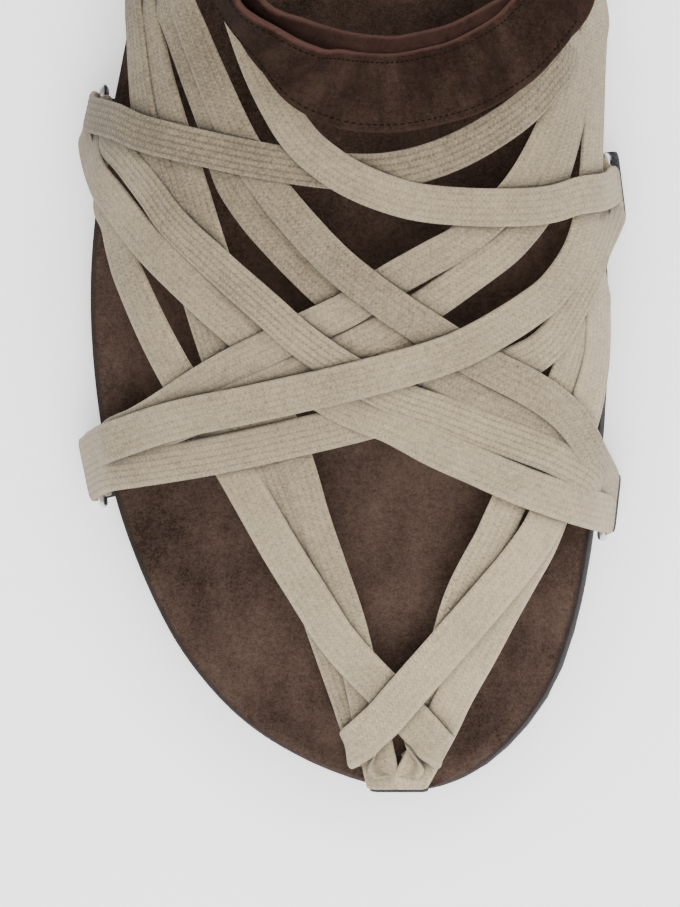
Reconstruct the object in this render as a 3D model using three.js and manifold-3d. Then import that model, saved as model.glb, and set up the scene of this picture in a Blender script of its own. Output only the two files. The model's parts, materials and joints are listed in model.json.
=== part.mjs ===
import * as THREE from "three";
import Module from "manifold-3d";

// A right-foot sandal: a footbed sole with a rail of small wire rings, flat cotton laces
// crossed over the foot from ring to ring, and a two-part instep strap.
// Millimetres, +Z up, toe towards -Y, inner (big toe) side towards +X.

// Overall sizes.
const SOLE_LENGTH = 275;
const SOLE_HALF_WIDTH = 53;
const FOOTBED_LEVEL = 28;
const OUTSOLE_THICK = 9.5;
const OUTSOLE_FLARE = 0.1;
const SEAM_SHARE = 0.52;
const TOE_SPRING = 6;
const TOE_SPRING_RUN = 58;
const HEEL_SPRING = 1.6;
const HEEL_SPRING_RUN = 26;
const PIECE_GAP = 0.3;
const RIM_ROUND = 2.6;

// Foot form under the laces.
const INSTEP_HEIGHT = 60;
const FORM_MARGIN = 2.4;

// Laces.
const LACE_WIDTH = 8;
const LACE_THICK = 1.5;
const LAYER_STEP = 1.3;
const LACE_STATIONS = 12;
const FACET_SLACK = 0.08;

// Rings and their webbing tabs.
const WIRE_RADIUS = 0.8;
const RING_LONG = 18;
const RING_CORNER = 2.2;
const RING_OUT = 2.2;
const RING_ABOVE_RIM = 2.2;
const BAR_OUT = 2.7;
const SLEEVE_INNER = 1.15;
const SLEEVE_OUTER = 2.5;
const SLEEVE_LONG = 13.6;
const TAB_WIDTH = 12;
const TAB_THICK = 1.1;
const TAB_TONGUE = 6;

// Instep strap.
const STRAP_WIDTH = 15.6;
const STRAP_THICK = 2;
const STRAP_TONGUE = 6;
const STRAP_OUT = 1.7;
const STRAP_OVER_LACES = 3.9;

// Tread.
const TREAD_DEPTH = 1.8;
const TREAD_GAP = 2.6;
const TREAD_COUNT = 13;

// Viewpoint of the drawing the lace routes were laid out on.
const EYE_X = 80;
const EYE_Y = -120;
const EYE_UP = 1200;
const SIGHT_STEPS = 50;
const SIGHT_EASE = 0.35;

const colours = {
  lace: 0xb3a78e,
  suede: 0x4a3a32,
  side: 0x3a2c26,
  rubber: 0x1d1a19,
  strap: 0x50403a,
  ring: 0xb9b9b6,
  webbing: 0x17171a,
};

function table(header, rows) {
  const names = header.split(" ");
  return rows.map((row) => Object.fromEntries(names.map((name, i) => [name, row[i]])));
}

// Edge of the footbed, shares of half width and of length measured from the toe.
const edgePoints = table("across along", [
  [0.27, -0.001],
  [0.1, 0.003],
  [-0.16, 0.021],
  [-0.41, 0.051],
  [-0.62, 0.095],
  [-0.76, 0.142],
  [-0.9, 0.213],
  [-0.975, 0.29],
  [-1.0, 0.37],
  [-0.965, 0.45],
  [-0.87, 0.545],
  [-0.775, 0.64],
  [-0.71, 0.73],
  [-0.68, 0.82],
  [-0.62, 0.9],
  [-0.46, 0.968],
  [-0.2, 0.997],
  [0.04, 1.0],
  [0.28, 0.994],
  [0.5, 0.965],
  [0.65, 0.9],
  [0.7, 0.82],
  [0.7, 0.73],
  [0.75, 0.64],
  [0.86, 0.545],
  [0.965, 0.45],
  [0.995, 0.36],
  [0.98, 0.28],
  [0.93, 0.185],
  [0.865, 0.121],
  [0.766, 0.071],
  [0.6, 0.03],
  [0.44, 0.008],
]);

// Height of the rim over the ground and depth of the hollow inside it, by share of length.
const soleTable = table("along rim dish arch", [
  [0, 22.5, 2.2, 0],
  [0.12, 24.5, 2.6, 0],
  [0.28, 26.5, 3.2, 0.4],
  [0.45, 28.5, 4.2, 2.2],
  [0.6, 31, 6, 4],
  [0.75, 34, 8, 2],
  [0.9, 36.5, 9.5, 0],
  [1, 37, 9.5, 0],
]);

// Foot form: height over the footbed level as a share of the instep height, and extra
// width on the inner and outer side where the foot stands out past the sole.
const formTable = table("along height inner outer", [
  [-0.02, 0.05, 0, 0],
  [0.02, 0.08, 0, 0],
  [0.06, 0.14, 0, 0],
  [0.12, 0.25, 0, 0],
  [0.25, 0.46, 0, 0],
  [0.35, 0.64, 0, 0],
  [0.45, 0.78, 0.02, 0],
  [0.55, 0.9, 0.12, 0.01],
  [0.62, 0.96, 0.15, 0.04],
  [0.72, 1, 0.1, 0.06],
  [1, 1, 0, 0],
]);

function lookUp(rows, key, column, value) {
  let i = 0;
  while (i < rows.length - 2 && value > rows[i + 1][key]) i += 1;
  const from = rows[i];
  const to = rows[i + 1];
  const t = Math.min(1, Math.max(0, (value - from[key]) / (to[key] - from[key])));
  const before = rows[Math.max(0, i - 1)];
  const after = rows[Math.min(rows.length - 1, i + 2)];
  const span = to[key] - from[key];
  const slopeIn = (to[column] - before[column]) / (to[key] - before[key]) * span;
  const slopeOut = (after[column] - from[column]) / (after[key] - from[key]) * span;
  const t2 = t * t;
  const t3 = t2 * t;
  return (2 * t3 - 3 * t2 + 1) * from[column] + (t3 - 2 * t2 + t) * slopeIn
    + (-2 * t3 + 3 * t2) * to[column] + (t3 - t2) * slopeOut;
}

const toeY = -SOLE_LENGTH / 2;
const alongOf = (y) => (y - toeY) / SOLE_LENGTH;

const edgeLoop = new THREE.CatmullRomCurve3(
  edgePoints.map((p) => new THREE.Vector3(p.across * SOLE_HALF_WIDTH, toeY + p.along * SOLE_LENGTH, 0)),
  true,
  "centripetal",
).getPoints(600);
const loopFront = Math.min(...edgeLoop.map((p) => p.y));
const loopBack = Math.max(...edgeLoop.map((p) => p.y));

// Where the edge loop crosses a given y: the outer side is -1, the inner side +1.
function edgeX(side, y) {
  const level = Math.min(loopBack - 0.02, Math.max(loopFront + 0.02, y));
  let best = side * -1e9;
  for (let i = 0; i < edgeLoop.length - 1; i += 1) {
    const a = edgeLoop[i];
    const b = edgeLoop[i + 1];
    if ((a.y - level) * (b.y - level) <= 0 && a.y !== b.y) {
      const x = a.x + (b.x - a.x) * (level - a.y) / (b.y - a.y);
      best = side < 0 ? Math.min(best === 1e9 ? x : best, x) : Math.max(best, x);
    }
  }
  return best;
}

function spring(y) {
  const fromToe = y - toeY;
  const fromHeel = SOLE_LENGTH - fromToe;
  const toe = fromToe < TOE_SPRING_RUN ? TOE_SPRING * (1 - fromToe / TOE_SPRING_RUN) ** 2 : 0;
  const heel = fromHeel < HEEL_SPRING_RUN ? HEEL_SPRING * (1 - fromHeel / HEEL_SPRING_RUN) ** 2 : 0;
  return toe + heel;
}

const rimZ = (y) => lookUp(soleTable, "along", "rim", alongOf(y)) + spring(y);
const outsoleTop = (y) => spring(y) + OUTSOLE_THICK;
const seamZ = (y) => outsoleTop(y) + SEAM_SHARE * (rimZ(y) - outsoleTop(y));

function solid(positions, faces) {
  const geometry = new THREE.BufferGeometry();
  geometry.setAttribute("position", new THREE.Float32BufferAttribute(positions.flat(), 3));
  geometry.setIndex(faces.flat());
  return geometry;
}

// Sole pieces: rows of stations from toe to heel, columns across.
const rowCount = 36;
const rows = [];
for (let i = 0; i <= rowCount; i += 1) {
  const t = (1 - Math.cos(Math.PI * i / rowCount)) / 2;
  rows.push(loopFront + 0.35 + t * (loopBack - loopFront - 0.7));
}

function slab(columns, grow, topZ, bottomZ) {
  const positions = [];
  const faces = [];
  const m = columns.length;
  const stretch = (SOLE_LENGTH / 2 + grow) / (SOLE_LENGTH / 2);
  rows.forEach((y) => {
    const left = edgeX(-1, y) - grow;
    const right = edgeX(1, y) + grow;
    const yy = y * stretch;
    columns.forEach((u) => {
      const x = (left + right) / 2 + u * (right - left) / 2;
      positions.push([x, yy, topZ(u, y, left, right)]);
    });
    positions.push([left, yy, bottomZ(y)]);
    positions.push([right, yy, bottomZ(y)]);
  });
  const width = m + 2;
  const at = (i, j) => i * width + j;
  for (let i = 0; i < rows.length - 1; i += 1) {
    for (let j = 0; j < m - 1; j += 1) {
      faces.push([at(i, j), at(i, j + 1), at(i + 1, j + 1)]);
      faces.push([at(i, j), at(i + 1, j + 1), at(i + 1, j)]);
    }
    faces.push([at(i, 0), at(i + 1, 0), at(i + 1, m)]);
    faces.push([at(i, 0), at(i + 1, m), at(i, m)]);
    faces.push([at(i, m - 1), at(i, m + 1), at(i + 1, m + 1)]);
    faces.push([at(i, m - 1), at(i + 1, m + 1), at(i + 1, m - 1)]);
    faces.push([at(i, m), at(i + 1, m), at(i + 1, m + 1)]);
    faces.push([at(i, m), at(i + 1, m + 1), at(i, m + 1)]);
  }
  const last = rows.length - 1;
  for (let j = 0; j < m - 1; j += 1) {
    faces.push([at(0, m), at(0, j + 1), at(0, j)]);
    faces.push([at(last, m), at(last, j), at(last, j + 1)]);
  }
  faces.push([at(0, m), at(0, m + 1), at(0, m - 1)]);
  faces.push([at(last, m), at(last, m - 1), at(last, m + 1)]);
  return solid(positions, faces);
}

const footbedColumns = [-1, -0.985, -0.955, -0.91, -0.8, -0.55, -0.2, 0.2, 0.55, 0.8, 0.91, 0.955, 0.985, 1];

function footbedTop(u, y, left, right) {
  const half = (right - left) / 2;
  const fromSide = half * (1 - Math.abs(u));
  const fromEnd = Math.min(y - loopFront, loopBack - y);
  const inward = Math.max(0, Math.min(fromSide, fromEnd));
  const short = Math.max(0, 1 - inward / RIM_ROUND);
  const drop = RIM_ROUND * (1 - Math.sqrt(Math.max(0, 1 - short * short)));
  const along = alongOf(y);
  const dish = lookUp(soleTable, "along", "dish", along);
  const arch = lookUp(soleTable, "along", "arch", along);
  const rise = Math.min(1, Math.max(0, (inward - 3.4) / 9));
  const smooth = rise * rise * (3 - 2 * rise);
  const archShape = Math.max(0, u) ** 2 * (1 - Math.max(0, u) ** 6);
  const toeBar = 1.2 * Math.exp(-(((along - 0.235) / 0.03) ** 2)) * (1 - u * u);
  return rimZ(y) - drop - smooth * (dish - arch * archShape * 1.6 - toeBar);
}

const wasm = await Module();
wasm.setup();

function toManifold(geometry) {
  const position = geometry.getAttribute("position");
  const keys = new Map();
  const vertices = [];
  const remap = [];
  for (let i = 0; i < position.count; i += 1) {
    const p = [position.getX(i), position.getY(i), position.getZ(i)];
    const key = p.map((v) => Math.round(v * 1e4)).join(" ");
    if (!keys.has(key)) {
      keys.set(key, vertices.length / 3);
      vertices.push(...p);
    }
    remap.push(keys.get(key));
  }
  const index = geometry.index ? Array.from(geometry.index.array) : remap.map((v, i) => i);
  const triangles = [];
  for (let i = 0; i < index.length; i += 3) {
    const [a, b, c] = [remap[index[i]], remap[index[i + 1]], remap[index[i + 2]]];
    if (a !== b && b !== c && c !== a) triangles.push(a, b, c);
  }
  return new wasm.Manifold(new wasm.Mesh({
    numProp: 3,
    vertProperties: new Float32Array(vertices),
    triVerts: new Uint32Array(triangles),
  }));
}

function fromManifold(body) {
  const mesh = body.getMesh();
  const geometry = new THREE.BufferGeometry();
  geometry.setAttribute("position", new THREE.BufferAttribute(new Float32Array(mesh.vertProperties), 3));
  geometry.setIndex(Array.from(mesh.triVerts));
  return geometry;
}

function box(width, depth, height, x, y, z, turn = 0) {
  const geometry = new THREE.BoxGeometry(width, depth, height);
  geometry.rotateZ(turn);
  geometry.translate(x, y, z);
  return toManifold(geometry);
}

// Ribbon of rectangular section along a path with a face direction at each station.
function ribbon(stations, width, thick) {
  const positions = [];
  const faces = [];
  stations.forEach((s) => {
    const side = new THREE.Vector3().crossVectors(s.tangent, s.normal).normalize();
    const up = new THREE.Vector3().crossVectors(side, s.tangent).normalize();
    const half = width / 2 * (s.share ?? 1);
    [[-1, -1], [1, -1], [1, 1], [-1, 1]].forEach(([a, b]) => {
      const p = s.point.clone().addScaledVector(side, a * half).addScaledVector(up, b * thick / 2);
      positions.push(p.toArray());
    });
  });
  const n = stations.length;
  for (let i = 0; i < n - 1; i += 1) {
    for (let k = 0; k < 4; k += 1) {
      const a = i * 4 + k;
      const b = i * 4 + (k + 1) % 4;
      faces.push([a, b, b + 4]);
      faces.push([a, b + 4, a + 4]);
    }
  }
  faces.push([0, 2, 1]);
  faces.push([0, 3, 2]);
  const e = (n - 1) * 4;
  faces.push([e, e + 1, e + 2]);
  faces.push([e, e + 2, e + 3]);
  return outward(solid(positions, faces));
}

function volume(geometry) {
  const p = geometry.getAttribute("position");
  const index = geometry.index.array;
  const [a, b, c] = [new THREE.Vector3(), new THREE.Vector3(), new THREE.Vector3()];
  let total = 0;
  for (let i = 0; i < index.length; i += 3) {
    a.fromBufferAttribute(p, index[i]);
    b.fromBufferAttribute(p, index[i + 1]);
    c.fromBufferAttribute(p, index[i + 2]);
    total += a.dot(b.clone().cross(c)) / 6;
  }
  return total;
}

function outward(geometry) {
  if (volume(geometry) < 0) {
    const index = Array.from(geometry.index.array);
    for (let i = 0; i < index.length; i += 3) {
      [index[i], index[i + 1]] = [index[i + 1], index[i]];
    }
    geometry.setIndex(index);
  }
  return geometry;
}

// Foot form surface.
function formHeight(x, y) {
  const along = alongOf(y);
  const left = edgeX(-1, y) - FORM_MARGIN - lookUp(formTable, "along", "outer", along) * SOLE_HALF_WIDTH;
  const right = edgeX(1, y) + FORM_MARGIN + lookUp(formTable, "along", "inner", along) * SOLE_HALF_WIDTH;
  const share = (x - (left + right) / 2) / ((right - left) / 2);
  const p = Math.min(0.985, Math.abs(share));
  const peak = INSTEP_HEIGHT * lookUp(formTable, "along", "height", along);
  return peak * (1 - p ** 2.2) ** (1 / 2.2);
}

function formNormal(x, y) {
  const d = 0.6;
  const dx = (formHeight(x + d, y) - formHeight(x - d, y)) / (2 * d);
  const dy = (formHeight(x, y + d) - formHeight(x, y - d)) / (2 * d);
  return new THREE.Vector3(-dx, -dy, 1).normalize();
}

// A point of a route is given by its shares as drawn from the eye point. The raised point is
// moved over the form until its sight line meets the footbed level at those shares.
function onForm(across, along, layer) {
  const sx = across * SOLE_HALF_WIDTH;
  const sy = toeY + along * SOLE_LENGTH;
  const raise = LACE_THICK / 2 + layer * LAYER_STEP;
  const point = new THREE.Vector3();
  let normal = null;
  let x = sx;
  let y = sy;
  for (let i = 0; i < SIGHT_STEPS; i += 1) {
    normal = formNormal(x, y);
    point.set(x, y, FOOTBED_LEVEL + formHeight(x, y)).addScaledVector(normal, raise);
    const share = EYE_UP / (EYE_UP - (point.z - FOOTBED_LEVEL));
    x += SIGHT_EASE * (sx - EYE_X - (point.x - EYE_X) * share);
    y += SIGHT_EASE * (sy - EYE_Y - (point.y - EYE_Y) * share);
  }
  return { point, normal };
}

// Rings.
const ringTable = table("name side along", [
  ["outer_mid", -1, 0.496],
  ["outer_front", -1, 0.239],
  ["outer_rear", -1, 0.695],
  ["inner_mid", 1, 0.441],
  ["inner_front", 1, 0.213],
  ["inner_rear", 1, 0.69],
]);
const TOE_ACROSS = 0.196;
const TOE_NOTCH = 4.2;

function ringPlace(row) {
  const y = toeY + row.along * SOLE_LENGTH;
  const a = edgeX(row.side, y - 6);
  const b = edgeX(row.side, y + 6);
  const bar = new THREE.Vector3(b - a, 12, 0).normalize();
  const out = new THREE.Vector3(bar.y * row.side, -bar.x * row.side, 0);
  const edge = new THREE.Vector3(edgeX(row.side, y), y, 0);
  const lower = edge.clone().addScaledVector(out, BAR_OUT);
  lower.z = seamZ(y) + TAB_THICK * 0.5 + WIRE_RADIUS + PIECE_GAP;
  const upper = edge.clone().addScaledVector(out, RING_OUT);
  upper.z = rimZ(y) + RING_ABOVE_RIM;
  return { name: row.name, bar, out, edge, lower, upper, seam: seamZ(y), barOut: BAR_OUT };
}

function toePlace() {
  const x = TOE_ACROSS * SOLE_HALF_WIDTH;
  const bar = new THREE.Vector3(1, 0, 0);
  const out = new THREE.Vector3(0, -1, 0);
  const edge = new THREE.Vector3(x, loopFront, 0);
  const barOut = -1.5;
  const lower = edge.clone().addScaledVector(out, barOut);
  const seam = seamZ(loopFront);
  lower.z = seam + TAB_THICK * 0.5 + WIRE_RADIUS + PIECE_GAP;
  const upper = edge.clone().addScaledVector(out, -2.5);
  upper.z = rimZ(loopFront) + SLEEVE_OUTER + 0.7;
  return { name: "toe", bar, out, edge, lower, upper, seam, barOut };
}

const places = Object.fromEntries(ringTable.map((row) => [row.name, ringPlace(row)]));
places.toe = toePlace();

function sweepClosed(points, radius, sides, planeNormal) {
  const positions = [];
  const faces = [];
  const n = points.length;
  points.forEach((p, i) => {
    const ahead = points[(i + 1) % n];
    const behind = points[(i + n - 1) % n];
    const tangent = ahead.clone().sub(behind).normalize();
    const side = new THREE.Vector3().crossVectors(tangent, planeNormal).normalize();
    for (let k = 0; k < sides; k += 1) {
      const a = 2 * Math.PI * k / sides;
      const q = p.clone().addScaledVector(side, Math.cos(a) * radius);
      positions.push(q.addScaledVector(planeNormal, Math.sin(a) * radius).toArray());
    }
  });
  for (let i = 0; i < n; i += 1) {
    for (let k = 0; k < sides; k += 1) {
      const a = i * sides + k;
      const b = i * sides + (k + 1) % sides;
      const c = ((i + 1) % n) * sides + k;
      const d = ((i + 1) % n) * sides + (k + 1) % sides;
      faces.push([a, b, d]);
      faces.push([a, d, c]);
    }
  }
  return outward(solid(positions, faces));
}

function ringSolid(place) {
  const rise = place.upper.clone().sub(place.lower);
  const high = rise.length();
  const up = rise.clone().normalize();
  const planeNormal = new THREE.Vector3().crossVectors(place.bar, up).normalize();
  const halfLong = RING_LONG / 2 - WIRE_RADIUS;
  const corners = [[1, 0], [1, 1], [-1, 1], [-1, 0]];
  const points = [];
  corners.forEach(([sx, top], index) => {
    const cx = sx * (halfLong - RING_CORNER);
    const cy = top ? high - RING_CORNER : RING_CORNER;
    for (let k = 0; k < 4; k += 1) {
      const a = (index - 1) * Math.PI / 2 + k / 3 * Math.PI / 2;
      const px = cx + Math.cos(a) * RING_CORNER;
      const py = cy + Math.sin(a) * RING_CORNER;
      points.push(place.lower.clone().addScaledVector(place.bar, px).addScaledVector(up, py));
    }
  });
  return sweepClosed(points, WIRE_RADIUS, 6, planeNormal);
}

function sleeveSolid(place) {
  const sides = 8;
  const positions = [];
  const faces = [];
  const up = new THREE.Vector3(0, 0, 1);
  [[-1, SLEEVE_OUTER], [1, SLEEVE_OUTER], [1, SLEEVE_INNER], [-1, SLEEVE_INNER]].forEach(([end, radius]) => {
    for (let k = 0; k < sides; k += 1) {
      const a = 2 * Math.PI * k / sides;
      const p = place.upper.clone().addScaledVector(place.bar, end * SLEEVE_LONG / 2);
      p.addScaledVector(place.out, Math.cos(a) * radius).addScaledVector(up, Math.sin(a) * radius);
      positions.push(p.toArray());
    }
  });
  for (let ringIndex = 0; ringIndex < 4; ringIndex += 1) {
    for (let k = 0; k < sides; k += 1) {
      const a = ringIndex * sides + k;
      const b = ringIndex * sides + (k + 1) % sides;
      const c = ((ringIndex + 1) % 4) * sides + k;
      const d = ((ringIndex + 1) % 4) * sides + (k + 1) % sides;
      faces.push([a, b, d]);
      faces.push([a, d, c]);
    }
  }
  return outward(solid(positions, faces));
}

function tabSolid(place) {
  const radius = WIRE_RADIUS + PIECE_GAP + TAB_THICK / 2;
  const up = new THREE.Vector3(0, 0, 1);
  const local = [[-TAB_TONGUE, -radius], [-0.2 * TAB_TONGUE, -radius]];
  for (let k = 0; k <= 6; k += 1) {
    const a = -Math.PI / 2 + k / 6 * Math.PI * 1.12;
    local.push([Math.cos(a) * radius, Math.sin(a) * radius]);
  }
  const points = local.map(([o, z], i) => {
    const p = place.lower.clone();
    p.addScaledVector(place.out, i < 2 ? o - 0.6 : o);
    p.addScaledVector(up, z);
    return p;
  });
  const stations = points.map((point, i) => {
    const a = points[Math.max(0, i - 1)];
    const b = points[Math.min(points.length - 1, i + 1)];
    const tangent = b.clone().sub(a).normalize();
    const normal = new THREE.Vector3().crossVectors(tangent, place.bar).normalize();
    return { point, tangent, normal };
  });
  return ribbon(stations, TAB_WIDTH, TAB_THICK);
}

// Lace routes.
// Each route names the ring it leaves and the ring it reaches. "slot" is the place along the
// ring's bar in shares of its half length; "face" 1 lies outside the bar, -1 inside it.
const routes = [
  {
    name: "cross_upper",
    from: ["outer_mid", 0.5, 1],
    to: ["inner_rear", 0.5, 1],
    via: table("across along layer", [
      [-0.823, 0.489, 2.2],
      [-0.546, 0.475, 1.6],
      [-0.242, 0.463, 1.2],
      [0.03, 0.457, 1],
      [0.204, 0.459, 1],
      [0.396, 0.47, 1],
      [0.581, 0.489, 1.6],
      [0.727, 0.511, 2],
      [0.84, 0.54, 2],
    ]),
  },
  {
    name: "sweep_upper",
    from: ["outer_rear", 0.6, 1],
    to: ["inner_mid", 0.35, 1],
    via: table("across along layer", [
      [-0.435, 0.588, 1],
      [-0.338, 0.536, 1],
      [-0.242, 0.499, 1.4],
      [-0.169, 0.479, 2],
      [-0.019, 0.456, 2.4],
      [0.096, 0.445, 2.2],
      [0.258, 0.435, 1.4],
      [0.431, 0.431, 2],
      [0.612, 0.43, 3],
      [0.781, 0.432, 3],
      [0.925, 0.44, 3],
    ]),
  },
  {
    name: "long_one",
    from: ["outer_rear", -0.6, 1],
    to: ["toe", -0.45, -1],
    via: table("across along layer", [
      [-0.829, 0.584, 0],
      [-0.788, 0.503, 0],
      [-0.738, 0.465, 0],
      [-0.565, 0.358, 0],
      [-0.496, 0.318, 0],
      [-0.327, 0.238, 0],
      [-0.223, 0.185, 0],
      [-0.142, 0.146, 0],
      [-0.05, 0.096, 0],
      [0.042, 0.046, 0],
    ]),
  },
  {
    name: "long_two",
    from: ["outer_rear", -0.2, 1],
    to: ["toe", -0.35, -1],
    via: table("across along layer", [
      [-0.773, 0.584, 0],
      [-0.713, 0.524, 0],
      [-0.615, 0.456, 0],
      [-0.515, 0.392, 0],
      [-0.365, 0.317, 0],
      [-0.204, 0.245, 0],
      [-0.131, 0.198, 0],
      [-0.065, 0.161, 0.4],
      [0, 0.124, 1],
      [0.058, 0.079, 1],
      [0.088, 0.05, 1],
    ]),
  },
  {
    name: "long_three",
    from: ["outer_rear", 0.1, -1],
    to: ["inner_front", 0.5, -1],
    via: table("across along layer", [
      [-0.708, 0.584, 0],
      [-0.596, 0.521, 0],
      [-0.538, 0.489, 0],
      [-0.458, 0.456, 0],
      [-0.377, 0.43, 0],
      [-0.277, 0.407, 0],
      [-0.081, 0.369, 0],
      [0.127, 0.337, 0.6],
      [0.358, 0.304, 1.4],
      [0.512, 0.287, 1.6],
      [0.665, 0.275, 1.6],
      [0.819, 0.26, 1.6],
      [0.93, 0.243, 1.4],
    ]),
  },
  {
    name: "long_four",
    from: ["outer_rear", 0.4, -1],
    to: ["inner_front", 0.6, 1],
    via: table("across along layer", [
      [-0.637, 0.584, 0],
      [-0.504, 0.522, 0],
      [-0.425, 0.483, 0],
      [-0.304, 0.447, 0.6],
      [-0.154, 0.412, 1.4],
      [-0.027, 0.387, 2],
      [0.146, 0.361, 2],
      [0.308, 0.34, 2],
      [0.512, 0.315, 2],
      [0.635, 0.303, 2.4],
      [0.762, 0.289, 2.4],
      [0.877, 0.269, 2.4],
      [0.948, 0.246, 2],
    ]),
  },
  {
    name: "side_low",
    from: ["outer_mid", -0.4, -1],
    to: ["toe", 0.55, 1],
    via: table("across along layer", [
      [-0.95, 0.439, 0],
      [-0.913, 0.425, 0],
      [-0.869, 0.393, 0],
      [-0.804, 0.362, 0],
      [-0.731, 0.332, 0],
      [-0.646, 0.302, 0],
      [-0.438, 0.237, 0.2],
      [-0.354, 0.209, 0.6],
      [-0.265, 0.179, 1],
      [-0.142, 0.141, 1.6],
      [-0.035, 0.109, 2],
      [0.146, 0.071, 2],
      [0.265, 0.047, 2],
    ]),
  },
  {
    name: "side_mid",
    from: ["outer_mid", -0.5, 1],
    to: ["inner_front", -0.6, 1],
    via: table("across along layer", [
      [-0.962, 0.452, 1],
      [-0.927, 0.443, 1],
      [-0.785, 0.407, 1],
      [-0.592, 0.37, 1],
      [-0.412, 0.339, 1],
      [-0.231, 0.31, 1],
      [0.012, 0.281, 1.6],
      [0.173, 0.269, 2],
      [0.338, 0.252, 2],
      [0.512, 0.237, 2],
      [0.665, 0.224, 2],
      [0.819, 0.213, 2],
      [0.935, 0.206, 1.4],
    ]),
  },
  {
    name: "side_high",
    from: ["outer_mid", 0.35, -1],
    to: ["inner_front", 0.05, 1],
    via: table("across along layer", [
      [-0.93, 0.483, 1],
      [-0.858, 0.467, 1],
      [-0.731, 0.435, 1],
      [-0.685, 0.422, 1],
      [-0.502, 0.388, 1.4],
      [-0.327, 0.358, 2.4],
      [-0.154, 0.329, 3],
      [0.146, 0.293, 2.6],
      [0.358, 0.278, 2],
      [0.512, 0.266, 2],
      [0.665, 0.255, 2],
      [0.819, 0.243, 2],
      [0.94, 0.228, 1.8],
    ]),
  },
  {
    name: "return_high",
    from: ["outer_front", 0.5, -1],
    to: ["inner_rear", 0.2, -1],
    via: table("across along layer", [
      [-0.9, 0.262, 0.4],
      [-0.788, 0.272, 1],
      [-0.673, 0.286, 1],
      [-0.562, 0.3, 1.4],
      [-0.415, 0.316, 1.8],
      [-0.296, 0.327, 2],
      [-0.15, 0.341, 2],
      [0.015, 0.356, 1.4],
      [0.146, 0.373, 1],
      [0.302, 0.39, 1],
      [0.465, 0.408, 1],
      [0.658, 0.444, 1.4],
      [0.762, 0.48, 1],
      [0.842, 0.521, 1],
      [0.88, 0.555, 1],
    ]),
  },
  {
    name: "return_low",
    from: ["outer_front", 0.1, -1],
    to: ["inner_rear", -0.3, -1],
    via: table("across along layer", [
      [-0.9, 0.25, 0.4],
      [-0.68, 0.268, 1.4],
      [-0.442, 0.287, 1.8],
      [-0.167, 0.31, 2],
      [0.002, 0.325, 1.6],
      [0.131, 0.338, 1],
      [0.281, 0.354, 1],
      [0.477, 0.38, 1],
      [0.654, 0.407, 1],
      [0.773, 0.439, 1.4],
      [0.85, 0.48, 1],
      [0.896, 0.521, 1],
      [0.92, 0.555, 1],
    ]),
  },
  {
    name: "main_sweep",
    from: ["outer_front", 0.35, 1],
    to: ["inner_rear", -0.6, 1],
    via: table("across along layer", [
      [-0.93, 0.256, 3],
      [-0.681, 0.272, 3],
      [-0.335, 0.286, 3.4],
      [0.081, 0.304, 4],
      [0.358, 0.319, 3.4],
      [0.473, 0.328, 3],
      [0.654, 0.348, 2],
      [0.8, 0.37, 2],
      [0.896, 0.401, 2],
      [0.93, 0.43, 2],
      [0.942, 0.458, 2],
      [0.95, 0.5, 1.4],
      [0.965, 0.545, 1],
      [0.98, 0.577, 1],
    ]),
  },
  {
    name: "second_sweep",
    from: ["outer_front", -0.5, 1],
    to: ["inner_mid", -0.5, 1],
    via: table("across along layer", [
      [-0.93, 0.234, 1.4],
      [-0.527, 0.246, 1.2],
      [-0.138, 0.262, 1],
      [0.077, 0.272, 1],
      [0.319, 0.286, 1],
      [0.512, 0.302, 1],
      [0.665, 0.315, 1.4],
      [0.781, 0.329, 1.4],
      [0.865, 0.355, 1.4],
      [0.927, 0.376, 1.4],
      [0.975, 0.4, 1.4],
    ]),
  },
  {
    name: "drop_outer",
    from: ["inner_mid", -0.2, -1],
    to: ["toe", -0.55, 1],
    via: table("across along layer", [
      [0.965, 0.361, 0.4],
      [0.962, 0.324, 0.4],
      [0.927, 0.291, 0.6],
      [0.877, 0.258, 0.6],
      [0.812, 0.22, 0.8],
      [0.746, 0.191, 1],
      [0.665, 0.168, 1],
      [0.55, 0.141, 1.4],
      [0.415, 0.111, 2.6],
      [0.25, 0.075, 3.2],
      [0.142, 0.051, 3],
      [0.08, 0.034, 2.2],
    ]),
  },
  {
    name: "drop_inner",
    from: ["inner_mid", -0.45, -1],
    to: ["toe", 0.35, -1],
    via: table("across along layer", [
      [0.912, 0.354, 0],
      [0.873, 0.324, 0],
      [0.827, 0.298, 0],
      [0.762, 0.269, 0],
      [0.685, 0.235, 0],
      [0.623, 0.211, 0],
      [0.558, 0.183, 0],
      [0.504, 0.164, 0],
      [0.442, 0.139, 0],
      [0.396, 0.109, 0],
      [0.35, 0.072, 0],
      [0.312, 0.046, 0],
    ]),
  },
  {
    name: "drop_middle",
    from: ["inner_mid", 0, -1],
    to: ["toe", 0.5, -1],
    via: table("across along layer", [
      [0.975, 0.369, 0],
      [0.973, 0.324, 0],
      [0.942, 0.287, 0],
      [0.877, 0.25, 0],
      [0.804, 0.209, 0],
      [0.742, 0.18, 0],
      [0.665, 0.154, 0],
      [0.588, 0.128, 0],
      [0.504, 0.098, 0.6],
      [0.415, 0.068, 1],
      [0.36, 0.046, 1],
    ]),
  },
];

function ringEnd([name, slot, face]) {
  const place = places[name];
  const middle = (SLEEVE_INNER + SLEEVE_OUTER) / 2;
  const point = place.upper.clone().addScaledVector(place.bar, slot * (SLEEVE_LONG - LACE_WIDTH) / 2);
  point.addScaledVector(place.out, face * middle * 0.85);
  point.z += middle * 0.5;
  return { point, normal: place.out.clone().multiplyScalar(1) };
}

function laceStations(route, count) {
  const knots = [ringEnd(route.from)];
  route.via.forEach((row) => knots.push(onForm(row.across, row.along, row.layer)));
  knots.push(ringEnd(route.to));
  return along(knots, count);
}

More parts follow.
